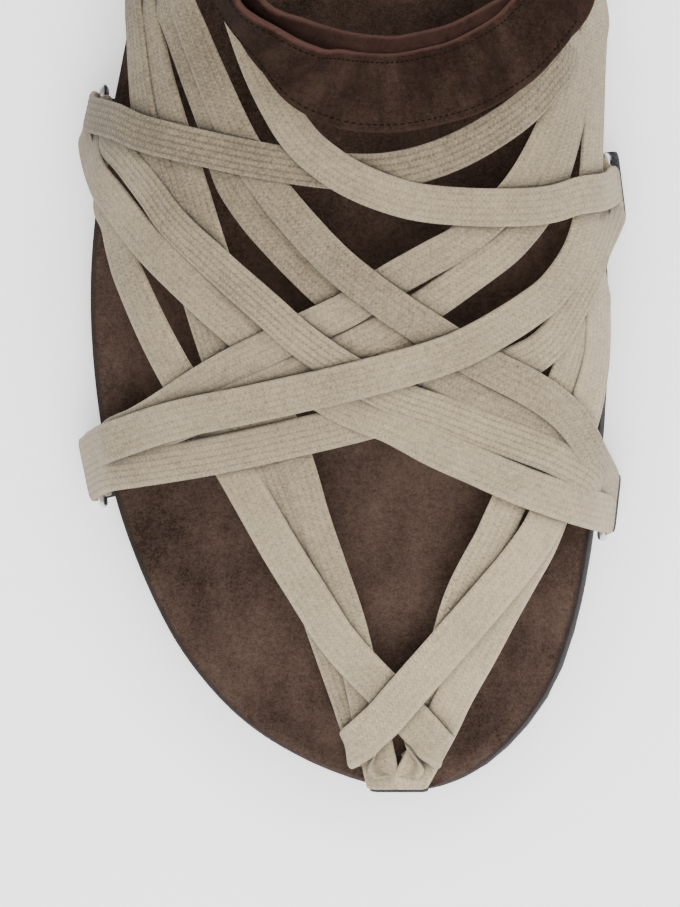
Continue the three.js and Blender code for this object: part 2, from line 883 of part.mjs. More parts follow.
// Even stations on a smooth path through the knots.
function along(knots, count) {
  const path = new THREE.CatmullRomCurve3(knots.map((k) => k.point), false, "centripetal");
  const faces = new THREE.CatmullRomCurve3(knots.map((k) => k.normal), false, "centripetal");
  const lengths = [0];
  knots.forEach((k, i) => {
    if (i > 0) lengths.push(lengths[i - 1] + k.point.distanceTo(knots[i - 1].point));
  });
  const total = lengths[lengths.length - 1];
  const stations = [];
  for (let i = 0; i <= count; i += 1) {
    const want = total * i / count;
    let k = 0;
    while (k < lengths.length - 2 && want > lengths[k + 1]) k += 1;
    const t = (k + (want - lengths[k]) / (lengths[k + 1] - lengths[k])) / (knots.length - 1);
    const u = Math.min(1, Math.max(0, t));
    stations.push({
      point: path.getPoint(u),
      tangent: path.getTangent(u),
      normal: faces.getPoint(u).normalize(),
    });
  }
  return stations;
}

const laceBodies = routes.map((route) => {
  const stations = laceStations(route, LACE_STATIONS);
  return toManifold(ribbon(stations, LACE_WIDTH, LACE_THICK));
});
const sleeveBodies = Object.values(places).map((place) => toManifold(sleeveSolid(place)));
let upperBody = sleeveBodies[0];
[...laceBodies, ...sleeveBodies.slice(1)].forEach((body) => {
  upperBody = upperBody.add(body);
});
// The laces' ends stop short of the ring bars: clear a round channel for each wire.
Object.values(places).forEach((place) => {
  const bore = new THREE.CylinderGeometry(SLEEVE_INNER, SLEEVE_INNER, RING_LONG + 2, 8);
  bore.rotateZ(-Math.atan2(place.bar.x, place.bar.y));
  bore.translate(place.upper.x, place.upper.y, place.upper.z);
  upperBody = upperBody.subtract(toManifold(bore));
});
// Slits closed in between crossed laces are filled: the outer shell alone is kept.
const largest = (body) => body.decompose().reduce((a, b) => (b.volume() > a.volume() ? b : a));
upperBody = largest(largest(upperBody).simplify(FACET_SLACK));

const group = new THREE.Group();
group.name = "lace_front_sandal";

function addPiece(name, geometry, colour, roughness, metalness = 0) {
  const material = new THREE.MeshStandardMaterial({ color: colour, roughness, metalness });
  const mesh = new THREE.Mesh(geometry, material);
  mesh.name = name;
  group.add(mesh);
}

// Instep strap: an outer half from the outer side, an inner half under it.
const strapTable = table("name side along layer", [
  ["strap_outer", -1, 0.775, STRAP_OVER_LACES + (STRAP_THICK + PIECE_GAP) / LAYER_STEP],
  ["strap_inner", 1, 0.775, STRAP_OVER_LACES],
]);
const strapRoutes = {
  strap_outer: table("across along lift", [
    [-0.66, 0.69, 0],
    [-0.56, 0.63, 0],
    [-0.43, 0.577, 0],
    [-0.36, 0.559, 0],
    [-0.277, 0.544, 0],
    [-0.127, 0.526, 0],
    [0, 0.519, 0],
    [0.19, 0.516, 0],
    [0.34, 0.521, 0],
    [0.45, 0.527, 0],
    [0.635, 0.547, 0],
    [0.715, 0.562, 0.2],
    [0.781, 0.577, 0.5],
    [0.846, 0.595, 0.8],
  ]),
  strap_inner: table("across along lift", [
    [0.78, 0.7, 0],
    [0.86, 0.64, 0],
    [0.87, 0.6, 0],
    [0.78, 0.577, 0],
    [0.635, 0.559, 0],
    [0.45, 0.54, 0],
    [0.34, 0.534, 0],
    [0.19, 0.529, 0],
    [0, 0.532, 0],
    [-0.127, 0.539, 0],
    [-0.24, 0.551, 0],
    [-0.38, 0.571, 0],
    [-0.442, 0.589, 0],
    [-0.49, 0.614, 0],
  ]),
};

function strapPlace(row) {
  const y = toeY + row.along * SOLE_LENGTH;
  const a = edgeX(row.side, y - 8);
  const b = edgeX(row.side, y + 8);
  const bar = new THREE.Vector3(b - a, 16, 0).normalize();
  const out = new THREE.Vector3(bar.y * row.side, -bar.x * row.side, 0);
  const edge = new THREE.Vector3(edgeX(row.side, y), y, 0);
  return { name: row.name, bar, out, edge, seam: seamZ(y), barOut: 0 };
}

function strapSolid(row) {
  const place = strapPlace(row);
  const rim = rimZ(place.edge.y);
  const down = new THREE.Vector3(0, 0, -1);
  const knots = [
    [-STRAP_TONGUE, place.seam, 0],
    [-2, place.seam, 0],
    [0.6, place.seam, 0],
    [STRAP_OUT + 0.1, place.seam + 1.4, 0.5],
    [STRAP_OUT + 0.3, place.seam + 3.6, 1],
    [STRAP_OUT + 0.3, rim + 1, 1],
  ].map(([away, z, turn]) => {
    const point = place.edge.clone().addScaledVector(place.out, away);
    point.z = z;
    const normal = down.clone().multiplyScalar(1 - turn).addScaledVector(place.out, turn);
    return { point, normal: normal.normalize() };
  });
  strapRoutes[row.name].forEach((via) => knots.push(onForm(via.across, via.along, row.layer + via.lift)));
  const path = new THREE.CatmullRomCurve3(knots.map((k) => k.point), false, "centripetal");
  const faces = new THREE.CatmullRomCurve3(knots.map((k) => k.normal), false, "centripetal");
  const stations = [];
  for (let i = 0; i <= (knots.length - 1) * 2; i += 1) {
    const u = i / ((knots.length - 1) * 2);
    const normal = faces.getPoint(u).normalize();
    stations.push({ point: path.getPoint(u), tangent: path.getTangent(u), normal });
  }
  const last = stations.length - 1;
  stations[last].share = 0.72;
  stations[last - 1].share = 0.97;
  return ribbon(stations, STRAP_WIDTH, STRAP_THICK);
}

// Pockets in the sole seam for the tongues of tabs and straps.
function pocket(place, tongue, width, thick) {
  const start = place.barOut - tongue - 0.6 - PIECE_GAP;
  const end = 4;
  const centre = place.edge.clone().addScaledVector(place.out, (start + end) / 2);
  const turn = Math.atan2(place.out.y, place.out.x);
  const high = thick + PIECE_GAP * 2;
  return box(end - start, width + PIECE_GAP * 2, high, centre.x, centre.y, place.seam, turn);
}

const pockets = Object.values(places).map((place) => pocket(place, TAB_TONGUE, TAB_WIDTH, TAB_THICK));
strapTable.forEach((row) => pockets.push(pocket(strapPlace(row), STRAP_TONGUE, STRAP_WIDTH, STRAP_THICK)));
const notchFloor = places.toe.seam - TAB_THICK / 2 - PIECE_GAP;
pockets.push(box(
  RING_LONG + PIECE_GAP * 3,
  10,
  20,
  places.toe.edge.x,
  loopFront + TOE_NOTCH - 5,
  notchFloor + 10,
));

let footbedBody = toManifold(outward(slab(footbedColumns, 0, footbedTop, (y) => seamZ(y) + PIECE_GAP / 2)));
let midsoleBody = toManifold(outward(slab(
  [-1, 1],
  -0.2,
  (u, y) => seamZ(y) - PIECE_GAP / 2,
  (y) => outsoleTop(y) + PIECE_GAP,
)));
let outsoleBody = toManifold(outward(slab(
  [-1, 1],
  OUTSOLE_FLARE,
  (u, y) => outsoleTop(y),
  (y) => spring(y),
)));
pockets.forEach((body) => {
  footbedBody = footbedBody.subtract(body);
  midsoleBody = midsoleBody.subtract(body);
});
for (let i = 0; i < TREAD_COUNT; i += 1) {
  const y = toeY + SOLE_LENGTH * (0.075 + 0.85 * i / (TREAD_COUNT - 1));
  const z = spring(y) + TREAD_DEPTH - 5;
  outsoleBody = outsoleBody.subtract(box(SOLE_HALF_WIDTH * 3, TREAD_GAP, 10, 0, y, z));
}

addPiece("upper_laces", fromManifold(upperBody), colours.lace, 0.9);
addPiece("footbed", fromManifold(footbedBody), colours.suede, 0.95);
addPiece("midsole", fromManifold(midsoleBody), colours.side, 0.9);
addPiece("outsole", fromManifold(outsoleBody), colours.rubber, 0.8);
Object.values(places).forEach((place) => {
  addPiece(`ring_${place.name}`, ringSolid(place), colours.ring, 0.3, 1);
  addPiece(`tab_${place.name}`, tabSolid(place), colours.webbing, 0.9);
});
strapTable.forEach((row) => addPiece(row.name, strapSolid(row), colours.strap, 0.9));

// The frame's origin is under the middle of the whole part's box, on the floor.
const box3 = new THREE.Box3().setFromObject(group);
const centre = box3.getCenter(new THREE.Vector3());
group.children.forEach((mesh) => mesh.geometry.translate(-centre.x, -centre.y, -box3.min.z));

export default group;
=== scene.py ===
import json
import math

import bpy
import numpy as np
from mathutils import Matrix, Vector

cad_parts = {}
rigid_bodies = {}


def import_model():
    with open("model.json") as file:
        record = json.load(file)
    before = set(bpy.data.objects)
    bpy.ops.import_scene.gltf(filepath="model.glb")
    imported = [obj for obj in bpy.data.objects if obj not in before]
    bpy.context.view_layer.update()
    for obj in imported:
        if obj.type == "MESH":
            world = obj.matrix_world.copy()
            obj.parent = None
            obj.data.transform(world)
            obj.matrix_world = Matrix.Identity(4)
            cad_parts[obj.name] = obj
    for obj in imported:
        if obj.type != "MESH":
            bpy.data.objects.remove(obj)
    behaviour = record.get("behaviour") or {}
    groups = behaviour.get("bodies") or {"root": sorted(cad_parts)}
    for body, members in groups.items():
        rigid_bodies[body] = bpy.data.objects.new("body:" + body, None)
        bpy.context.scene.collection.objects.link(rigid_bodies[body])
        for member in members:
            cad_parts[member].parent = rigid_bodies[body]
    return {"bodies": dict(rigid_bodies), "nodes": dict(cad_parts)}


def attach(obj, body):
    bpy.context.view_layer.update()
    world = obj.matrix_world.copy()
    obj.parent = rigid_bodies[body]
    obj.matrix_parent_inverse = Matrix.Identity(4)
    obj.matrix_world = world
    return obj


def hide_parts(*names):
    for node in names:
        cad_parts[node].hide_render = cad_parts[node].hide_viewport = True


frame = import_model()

bl_info = {
    "name": "Lace-Up Sandal",
    "version": (1, 0, 0),
    "blender": (4, 5, 0),
    "location": "View3D > Sidebar > Sandal",
    "description": "Builds the laces, straps, suede and sole of an open sandal, and its stage",
    "category": "Add Mesh",
}

MM = 0.001

# Moves the outline, drawn about its own toe and heel, to the middle of the shared frame (mm).
SHIFT = np.array([-0.79, 0.551, 0.0])

# The photograph's eye and the point it looks at, before the shift, and the height of view there (mm).
EYE = np.array([80.0, -120.0, 1228.0])
AIM = np.array([-1.43, -69.4, 28.0])
VIEW_HEIGHT = 185.1

# Sizes that the panel doesn't offer (mm), and shares.
TOE_SPRING, TOE_SPRING_REACH = 6, 58.0
HEEL_SPRING, HEEL_SPRING_REACH = 1.6, 26.0
SEAM_SHARE = 0.52
RIM_ROUND = 2.6
FORM_MARGIN, FORM_POWER = 2.4, 2.2
RING_CORNER, BAR_SPAN = 2.2, 12.8
HOOK_GAP, PLY_STEP = 0.25, 1.2
TAB_GAP, TAB_THICK, TAB_TONGUE = 0.3, 1.1, 6.6
RIB_PITCH, YARN_PITCH = 1.3, 0.9
STRAP_GAP, STRAP_LAYER, STRAP_STEP, OUTER_LIFT = 0.75, 3.9, 1.3, 2.3
SEAM_INSET, STITCH_PITCH, STITCH_LENGTH, STITCH_RADIUS = 1.7, 1.15, 0.7, 0.15

# Edge of the footbed: across (half widths), along (lengths from the toe).
EDGE = np.array([
    [0.27, -0.001], [0.1, 0.003], [-0.16, 0.021], [-0.41, 0.051], [-0.62, 0.095],
    [-0.76, 0.142], [-0.9, 0.213], [-0.975, 0.29], [-1.0, 0.37], [-0.965, 0.45],
    [-0.87, 0.545], [-0.775, 0.64], [-0.71, 0.73], [-0.68, 0.82], [-0.62, 0.9],
    [-0.46, 0.968], [-0.2, 0.997], [0.04, 1.0], [0.28, 0.994], [0.5, 0.965],
    [0.65, 0.9], [0.7, 0.82], [0.7, 0.73], [0.75, 0.64], [0.86, 0.545],
    [0.965, 0.45], [0.995, 0.36], [0.98, 0.28], [0.93, 0.185], [0.865, 0.121],
    [0.766, 0.071], [0.6, 0.03], [0.44, 0.008],
])

# Sole: along, rim height, depth of the hollow, arch rise (mm).
SOLE = np.array([
    [0, 22.5, 2.2, 0], [0.12, 24.5, 2.6, 0], [0.28, 26.5, 3.2, 0.4], [0.45, 28.5, 4.2, 2.2],
    [0.6, 31, 6, 4], [0.75, 34, 8, 2], [0.9, 36.5, 9.5, 0], [1, 37, 9.5, 0],
])

# Foot form: along, height share, extra width inside, extra width outside (half widths).
FORM = np.array([
    [-0.02, 0.05, 0, 0], [0.02, 0.08, 0, 0], [0.06, 0.14, 0, 0], [0.12, 0.25, 0, 0],
    [0.25, 0.46, 0, 0], [0.35, 0.64, 0, 0], [0.45, 0.78, 0.02, 0], [0.55, 0.9, 0.12, 0.01],
    [0.62, 0.96, 0.15, 0.04], [0.72, 1, 0.1, 0.06], [1, 1, 0, 0],
])

# Rings: side (-1 outer, 1 inner, 0 toe), along, half length, tab width, tab shift towards the heel (mm).
RINGS = {
    "outer_mid": (-1, 0.496, 7.3, 12, -0.5), "outer_front": (-1, 0.239, 8, 12, 0),
    "outer_rear": (-1, 0.695, 8, 12, 0), "inner_mid": (1, 0.441, 7.8, 14.5, 1.2),
    "inner_front": (1, 0.213, 8, 12, 0), "inner_rear": (1, 0.69, 8, 12, 0), "toe": (0, 0.0, 6.7, 12, 0),
}

# Laces. Ends: ring, slot along its bar, face of the bar (1 outside, -1 inside), ply.
# Route rows: across, along, layer. "ribs" is how strongly the ribs show and "fade" how far they fade
# along it, "wide" its share of the lace's width, "pinch" that share at its start. The lightness entry is
# partly each lace's own lightness and partly painted shade, set to how the light falls on that lace.
LACES = {
    "cross_upper": dict(a=("outer_mid", 0.6, 1, 0), b=("inner_rear", 1, 1, 0),
        ribs=1.0, fade=0.65, tone_and_shading=0.15, wide=0.97, way=[
        [-0.985, 0.501, 2.0], [-0.92, 0.498, 2.4], [-0.823, 0.489, 2.4], [-0.546, 0.475, 1.6],
        [-0.242, 0.463, 1.2], [0.03, 0.457, 1], [0.204, 0.459, 1], [0.396, 0.47, 1], [0.581, 0.489, 1.6],
        [0.727, 0.511, 2], [0.84, 0.54, 2]]),
    "sweep_upper": dict(a=("outer_rear", 1, 1, 1), b=("inner_mid", 0.3, 1, 0),
        ribs=0.25, tone_and_shading=0.45, wide=1.0, way=[
        [-0.435, 0.588, 1], [-0.338, 0.536, 1], [-0.242, 0.499, 1.4], [-0.169, 0.479, 2],
        [-0.019, 0.456, 2.4], [0.096, 0.445, 2.2], [0.258, 0.435, 1.4], [0.431, 0.431, 2],
        [0.612, 0.43, 3], [0.781, 0.432, 3], [0.925, 0.44, 3.2], [0.985, 0.441, 3.0]]),
    "long_one": dict(a=("outer_rear", -1, 1, 0), b=("toe", -1, -1, 0),
        pinch=0.9, ribs=0.5, tone_and_shading=0.25, wide=0.95, way=[
        [-0.829, 0.584, 0.5], [-0.788, 0.503, 0.5], [-0.738, 0.465, 0.4], [-0.565, 0.358, 0],
        [-0.496, 0.318, 0], [-0.327, 0.238, 0], [-0.223, 0.185, 0], [-0.142, 0.146, 0], [-0.05, 0.096, 0],
        [0.042, 0.046, 0]]),
    "long_two": dict(a=("outer_rear", -1, -1, 0), b=("toe", -1, 1, 0),
        pinch=0.72, ribs=0.2, tone_and_shading=0.3, wide=0.95, way=[
        [-0.773, 0.584, 0], [-0.713, 0.524, 0], [-0.615, 0.456, 0], [-0.515, 0.392, 0],
        [-0.365, 0.317, 0], [-0.204, 0.245, 0], [-0.131, 0.198, 0], [-0.065, 0.161, 0.4], [0, 0.124, 1],
        [0.058, 0.079, 1], [0.088, 0.05, 1]]),
    "long_three": dict(a=("outer_rear", 1, -1, 0), b=("inner_front", 1, -1, 0),
        pinch=0.85, ribs=0.15, tone_and_shading=0.2, wide=0.95, way=[
        [-0.7, 0.584, 0], [-0.571, 0.521, 0], [-0.507, 0.489, 0], [-0.458, 0.456, 0], [-0.377, 0.43, 0],
        [-0.277, 0.407, 0], [-0.081, 0.369, 0], [0.127, 0.337, 0.6], [0.358, 0.304, 1.4],
        [0.512, 0.287, 1.6], [0.665, 0.275, 1.6], [0.819, 0.26, 1.6], [0.93, 0.243, 1.4]]),
    "long_four": dict(a=("outer_rear", 1, 1, 0), b=("inner_front", 1, 1, 0),
        pinch=0.77, ribs=0.15, tone_and_shading=0.25, wide=0.97, way=[
        [-0.64, 0.584, 0.6], [-0.512, 0.522, 0.6], [-0.421, 0.483, 0.4], [-0.304, 0.447, 0.6],
        [-0.154, 0.412, 1.4], [-0.027, 0.387, 2], [0.146, 0.361, 2], [0.308, 0.34, 2], [0.512, 0.315, 2],
        [0.635, 0.303, 2.4], [0.762, 0.289, 2.4], [0.877, 0.269, 2.4], [0.948, 0.246, 2]]),
    "side_low": dict(a=("outer_mid", -0.7, -1, 0), b=("toe", 1, 0, 0),
        ribs=0.15, tone_and_shading=0.42, wide=1.08, way=[
        [-0.95, 0.439, 0], [-0.913, 0.425, 0], [-0.869, 0.393, 0], [-0.804, 0.362, 0], [-0.731, 0.332, 0],
        [-0.646, 0.302, 0], [-0.438, 0.237, 0.2], [-0.354, 0.209, 0.6], [-0.265, 0.179, 1],
        [-0.142, 0.141, 1.6], [-0.035, 0.109, 2], [0.146, 0.071, 2], [0.265, 0.047, 2]]),
    "side_mid": dict(a=("outer_mid", -0.7, 1, 0), b=("inner_front", -1, 1, 0),
        ribs=0.2, tone_and_shading=0.45, wide=1.05, way=[
        [-0.962, 0.452, 1], [-0.927, 0.443, 1], [-0.785, 0.407, 1], [-0.592, 0.37, 1], [-0.412, 0.339, 1],
        [-0.231, 0.31, 1], [0.012, 0.281, 1.6], [0.173, 0.269, 2], [0.338, 0.252, 2], [0.512, 0.237, 2],
        [0.665, 0.224, 2], [0.819, 0.213, 2], [0.935, 0.206, 1.4]]),
    "side_high": dict(a=("outer_mid", 0.5, -1, 0), b=("inner_front", -1, -1, 0),
        ribs=0.8, tone_and_shading=0.43, wide=0.95, way=[
        [-0.93, 0.483, 0.2], [-0.858, 0.467, 0.8], [-0.731, 0.435, 1], [-0.685, 0.422, 1],
        [-0.502, 0.388, 1.4], [-0.327, 0.358, 2.4], [-0.154, 0.329, 3], [0.146, 0.293, 2.6],
        [0.358, 0.278, 2], [0.512, 0.266, 2], [0.665, 0.255, 2], [0.819, 0.243, 2], [0.94, 0.228, 1.8]]),
    "return_high": dict(a=("outer_front", 1, -1, 0), b=("inner_rear", 1, -1, 0),
        ribs=0.2, tone_and_shading=0.4, wide=0.94, way=[
        [-0.9, 0.262, 0.4], [-0.788, 0.272, 1], [-0.673, 0.286, 1], [-0.562, 0.3, 1.4],
        [-0.415, 0.316, 1.8], [-0.296, 0.327, 2], [-0.15, 0.341, 2], [0.015, 0.356, 1.4],
        [0.146, 0.373, 1], [0.302, 0.39, 1], [0.465, 0.408, 1], [0.658, 0.444, 1.4], [0.762, 0.48, 1],
        [0.842, 0.521, 1], [0.88, 0.555, 1]]),
    "return_low": dict(a=("outer_front", -1, -1, 0), b=("inner_rear", -1, -1, 0),
        ribs=0.3, tone_and_shading=0.4, wide=0.94, way=[
        [-0.9, 0.25, 0.4], [-0.68, 0.268, 1.4], [-0.442, 0.287, 1.8], [-0.167, 0.31, 2],
        [0.002, 0.325, 1.6], [0.131, 0.338, 1], [0.281, 0.354, 1], [0.477, 0.38, 1], [0.654, 0.407, 1],
        [0.773, 0.439, 1.4], [0.85, 0.48, 1], [0.9, 0.521, 1], [0.93, 0.555, 1], [0.945, 0.585, 1]]),
    "main_sweep": dict(a=("outer_front", 1, 1, 0), b=("inner_rear", -1, 1, 0),
        ribs=0.2, tone_and_shading=0.4, wide=1.04, way=[
        [-0.93, 0.256, 3], [-0.681, 0.272, 3], [-0.335, 0.286, 3.4], [0.081, 0.304, 4],
        [0.358, 0.319, 3.4], [0.473, 0.328, 3], [0.654, 0.348, 2], [0.8, 0.37, 2], [0.896, 0.401, 2],
        [0.93, 0.43, 1.4], [0.942, 0.458, 1.0], [0.952, 0.5, 1.2], [0.965, 0.545, 1], [0.98, 0.577, 1]]),
    "second_sweep": dict(a=("outer_front", -1, 1, 0), b=("inner_mid", -1, 1, 0),
        ribs=0.6, tone_and_shading=0.44, wide=1.05, way=[
        [-0.93, 0.234, 1.4], [-0.527, 0.246, 1.2], [-0.138, 0.262, 1], [0.077, 0.272, 1],
        [0.319, 0.286, 1], [0.512, 0.302, 1], [0.665, 0.315, 1.4], [0.781, 0.329, 1.4],
        [0.865, 0.355, 1.4], [0.927, 0.376, 1.4], [0.975, 0.4, 1.4]]),
    "drop_outer": dict(a=("inner_mid", 1, -1, 0), b=("toe", -1, 0, 0),
        ribs=0.2, tone_and_shading=0.6, wide=1.1, way=[
        [0.965, 0.361, 0.4], [0.962, 0.324, 0.4], [0.927, 0.291, 0.6], [0.877, 0.258, 0.6],
        [0.812, 0.22, 0.8], [0.746, 0.191, 1], [0.665, 0.168, 1], [0.55, 0.141, 1.4], [0.415, 0.111, 2.6],
        [0.25, 0.075, 3.2], [0.142, 0.051, 3]]),
    "drop_inner": dict(a=("inner_mid", -1, -1, 0), b=("toe", 1, -1, 0),
        ribs=0.5, tone_and_shading=0.55, wide=1.0, way=[
        [0.912, 0.354, 0], [0.873, 0.324, 0], [0.827, 0.298, 0], [0.762, 0.269, 0], [0.685, 0.235, 0],
        [0.623, 0.211, 0], [0.558, 0.183, 0], [0.504, 0.164, 0], [0.442, 0.139, 0], [0.396, 0.109, 0],
        [0.35, 0.072, 0], [0.312, 0.046, 0]]),
    "drop_middle": dict(a=("inner_mid", 0, -1, 1), b=("toe", 1, 1, 0),
        ribs=0.3, tone_and_shading=0.6, wide=1.0, way=[
        [0.975, 0.369, 0], [0.973, 0.324, 0], [0.942, 0.287, 0], [0.877, 0.25, 0], [0.804, 0.209, 0],
        [0.742, 0.18, 0], [0.665, 0.154, 0], [0.588, 0.128, 0], [0.504, 0.098, 0.6], [0.415, 0.068, 1],
        [0.36, 0.046, 1]]),
}

# Folded ends at the toe: the side the fold faces, its slant, and rows of across, along, layer.
FOLDS = {
    "side_low": (1.0, -0.28, [[0.325, 0.034, 1.9], [0.357, 0.0262, 1.3],
                              [0.353, 0.0262, 0.1], [0.325, 0.028, -0.3]]),
    "drop_outer": (-1.0, 0.25, [[0.064, 0.0372, 2.9], [0.012, 0.0272, 2.2],
                                [0.015, 0.027, 0.6], [0.045, 0.029, 0.1]]),
}

# Straps: the side and place where each leaves the sole, and rows of across, along, lift and the turn
# that stands the band on its toe-side edge (degrees).
STRAPS = {
    "strap_outer": dict(side=-1, along=0.775, way=[
        [-0.66, 0.69, 0, 0], [-0.56, 0.63, 0, 36], [-0.433, 0.575, 0, 57], [-0.373, 0.563, 0, 55],
        [-0.304, 0.5525, 0, 49], [-0.217, 0.5385, 0, 36], [-0.131, 0.5275, 0, 20], [-0.04, 0.521, 0, 8],
        [0.044, 0.517, 0, 0], [0.19, 0.516, 0, 0], [0.34, 0.521, 0, 0], [0.45, 0.527, 0, 0],
        [0.635, 0.547, 0, 0], [0.715, 0.562, 0.2, 0], [0.781, 0.577, 0.5, 0], [0.846, 0.595, 0.8, 0]]),
    "strap_inner": dict(side=1, along=0.775, way=[
        [0.78, 0.7, 0, 0], [0.86, 0.64, 0, 0], [0.87, 0.6, 0, 0], [0.78, 0.577, 0, 0],
        [0.635, 0.559, 0, 0], [0.45, 0.54, 0, 0], [0.34, 0.534, 0, 0], [0.19, 0.529, 0, 0],
        [0, 0.532, 0, 0], [-0.127, 0.539, 0, 2], [-0.24, 0.552, 0, 18], [-0.36, 0.573, 0, 42],
        [-0.41, 0.591, 0, 48], [-0.45, 0.614, 0, 48]]),
}


# Settings

def length(name, description, default):
    return bpy.props.FloatProperty(name=name, description=description, default=default * MM,
                                   unit="LENGTH", precision=5)


def number(name, description, default):
    return bpy.props.FloatProperty(name=name, description=description, default=default)


def colour(name, description, default):
    return bpy.props.FloatVectorProperty(name=name, description=description, default=default,
                                         subtype="COLOR", size=3, min=0.0, max=1.0)


class SandalSizes(bpy.types.PropertyGroup):
    """Sizes of the sandal, in metres."""

    sole_length: length("Sole length", "Toe to heel along the footbed", 275)
    half_width: length("Half width", "Half the width at the ball of the foot", 53)
    level: length("Footbed level", "Height the laces' rise is counted from", 28)
    outsole: length("Outsole", "Thickness of the outsole", 9.5)
    instep: length("Instep", "Height of the foot form over the footbed level", 60)
    lace_width: length("Lace width", "Width of a flat lace", 7.6)
    lace_thick: length("Lace thickness", "Thickness of a flat lace", 1.5)
    layer_step: length("Layer step", "Rise from one lace to the next over it", 1.4)
    strap_width: length("Strap width", "Width of the instep strap", 15.6)
    strap_thick: length("Strap thickness", "Thickness of one strap", 2)
    wire: length("Wire", "Radius of the rings' wire", 0.8)


class SandalColours(bpy.types.PropertyGroup):
    """Colours read from the photograph, in linear values."""

    lace: colour("Lace", "Light ecru cotton", (0.50, 0.402, 0.258))
    # The shade colour is also where painted shade goes: the lace's grooves, its shaded stretches and, far
    # darker, the gaps between laces.
    lace_dark: colour("Lace shade", "The cotton's darker yarn", (0.125, 0.096, 0.056))
    suede: colour("Suede", "Dark mocha nap", (0.022, 0.0132, 0.0092))
    suede_light: colour("Suede light", "Nap brushed the other way", (0.098, 0.063, 0.047))
    strap: colour("Strap", "Reddish brown suede", (0.0105, 0.0058, 0.0038))
    strap_light: colour("Strap light", "Strap nap brushed the other way", (0.060, 0.036, 0.026))
    raw: colour("Raw edge", "Cut edge of the strap's leather", (0.078, 0.039, 0.031))
    thread: colour("Thread", "Strap stitches", (0.0045, 0.003, 0.0024))
    rubber: colour("Rubber", "Outsole", (0.005, 0.0045, 0.0045))
    side: colour("Side", "Sole side", (0.007, 0.0045, 0.0036))
    metal: colour("Metal", "Rings", (0.42, 0.42, 0.41))
    webbing: colour("Webbing", "Tabs", (0.010, 0.010, 0.012))
    floor: colour("Floor", "Stage floor", (0.95, 0.95, 0.95))


# Curves and surfaces

def unit(vectors):
    return vectors / np.maximum(np.linalg.norm(vectors, axis=-1, keepdims=True), 1e-9)


def smooth_step(t):
    return t * t * (3 - 2 * t)


def run_along(points):
    """The length of a path up to each of its points."""
    return np.concatenate([[0], np.cumsum(np.linalg.norm(np.diff(points, axis=0), axis=1))])


def hermite(t, start, end, slope_in, slope_out):
    """The cubic through two values with a slope at each."""
    t2, t3 = t * t, t * t * t
    return ((2 * t3 - 3 * t2 + 1) * start + (t3 - 2 * t2 + t) * slope_in
            + (-2 * t3 + 3 * t2) * end + (t3 - t2) * slope_out)


def curve(knots, per=24, closed=False, dims=3):
    """Centripetal spline: between knots a cubic whose end slopes are the blend of the chords beside."""
    k = np.vstack([knots[-2:], knots, knots[:3]]) if closed else np.asarray(knots, float)
    gap = np.maximum(np.linalg.norm(np.diff(k[:, :dims], axis=0), axis=1), 1e-9) ** 0.5
    slope = np.diff(k, axis=0) / gap[:, None]
    inner = (slope[:-1] * gap[1:, None] + slope[1:] * gap[:-1, None]) / (gap[:-1] + gap[1:])[:, None]
    ends = np.vstack([slope[:1], inner, slope[-1:]])
    t = np.linspace(0, 1, per, endpoint=False)[None, :, None]
    p0, p1 = k[:-1, None], k[1:, None]
    m0, m1 = (ends[:-1] * gap[:, None])[:, None], (ends[1:] * gap[:, None])[:, None]
    dense = hermite(t, p0, p1, m0, m1)
    if closed:
        dense = dense[2:-2]
        return np.vstack([dense.reshape(-1, k.shape[1]), dense[0, :1]])
    return np.vstack([dense.reshape(-1, k.shape[1]), k[-1:]])


def even(path, step, dims=3):
    """The same path at even steps of its length."""
    run = run_along(path[:, :dims])
    count = max(8, int(round(run[-1] / step)) + 1)
    want = np.linspace(0, run[-1], count)
    return np.stack([np.interp(want, run, path[:, c]) for c in range(path.shape[1])], 1), want


def lookup(rows, column, value):
    """Smooth reading of a table: a cubic between rows with slopes taken over the rows beside."""
    key, val = rows[:, 0], rows[:, column]
    v = np.clip(np.asarray(value, float), key[0], key[-1])
    i = np.clip(np.searchsorted(key, v, side="right") - 1, 0, len(key) - 2)
    lo, hi = np.maximum(i - 1, 0), np.minimum(i + 2, len(key) - 1)
    span = key[i + 1] - key[i]
    t = (v - key[i]) / span
    m0 = (val[i + 1] - val[lo]) / (key[i + 1] - key[lo]) * span
    m1 = (val[hi] - val[i]) / (key[hi] - key[i]) * span
    return hermite(t, val[i], val[i + 1], m0, m1)


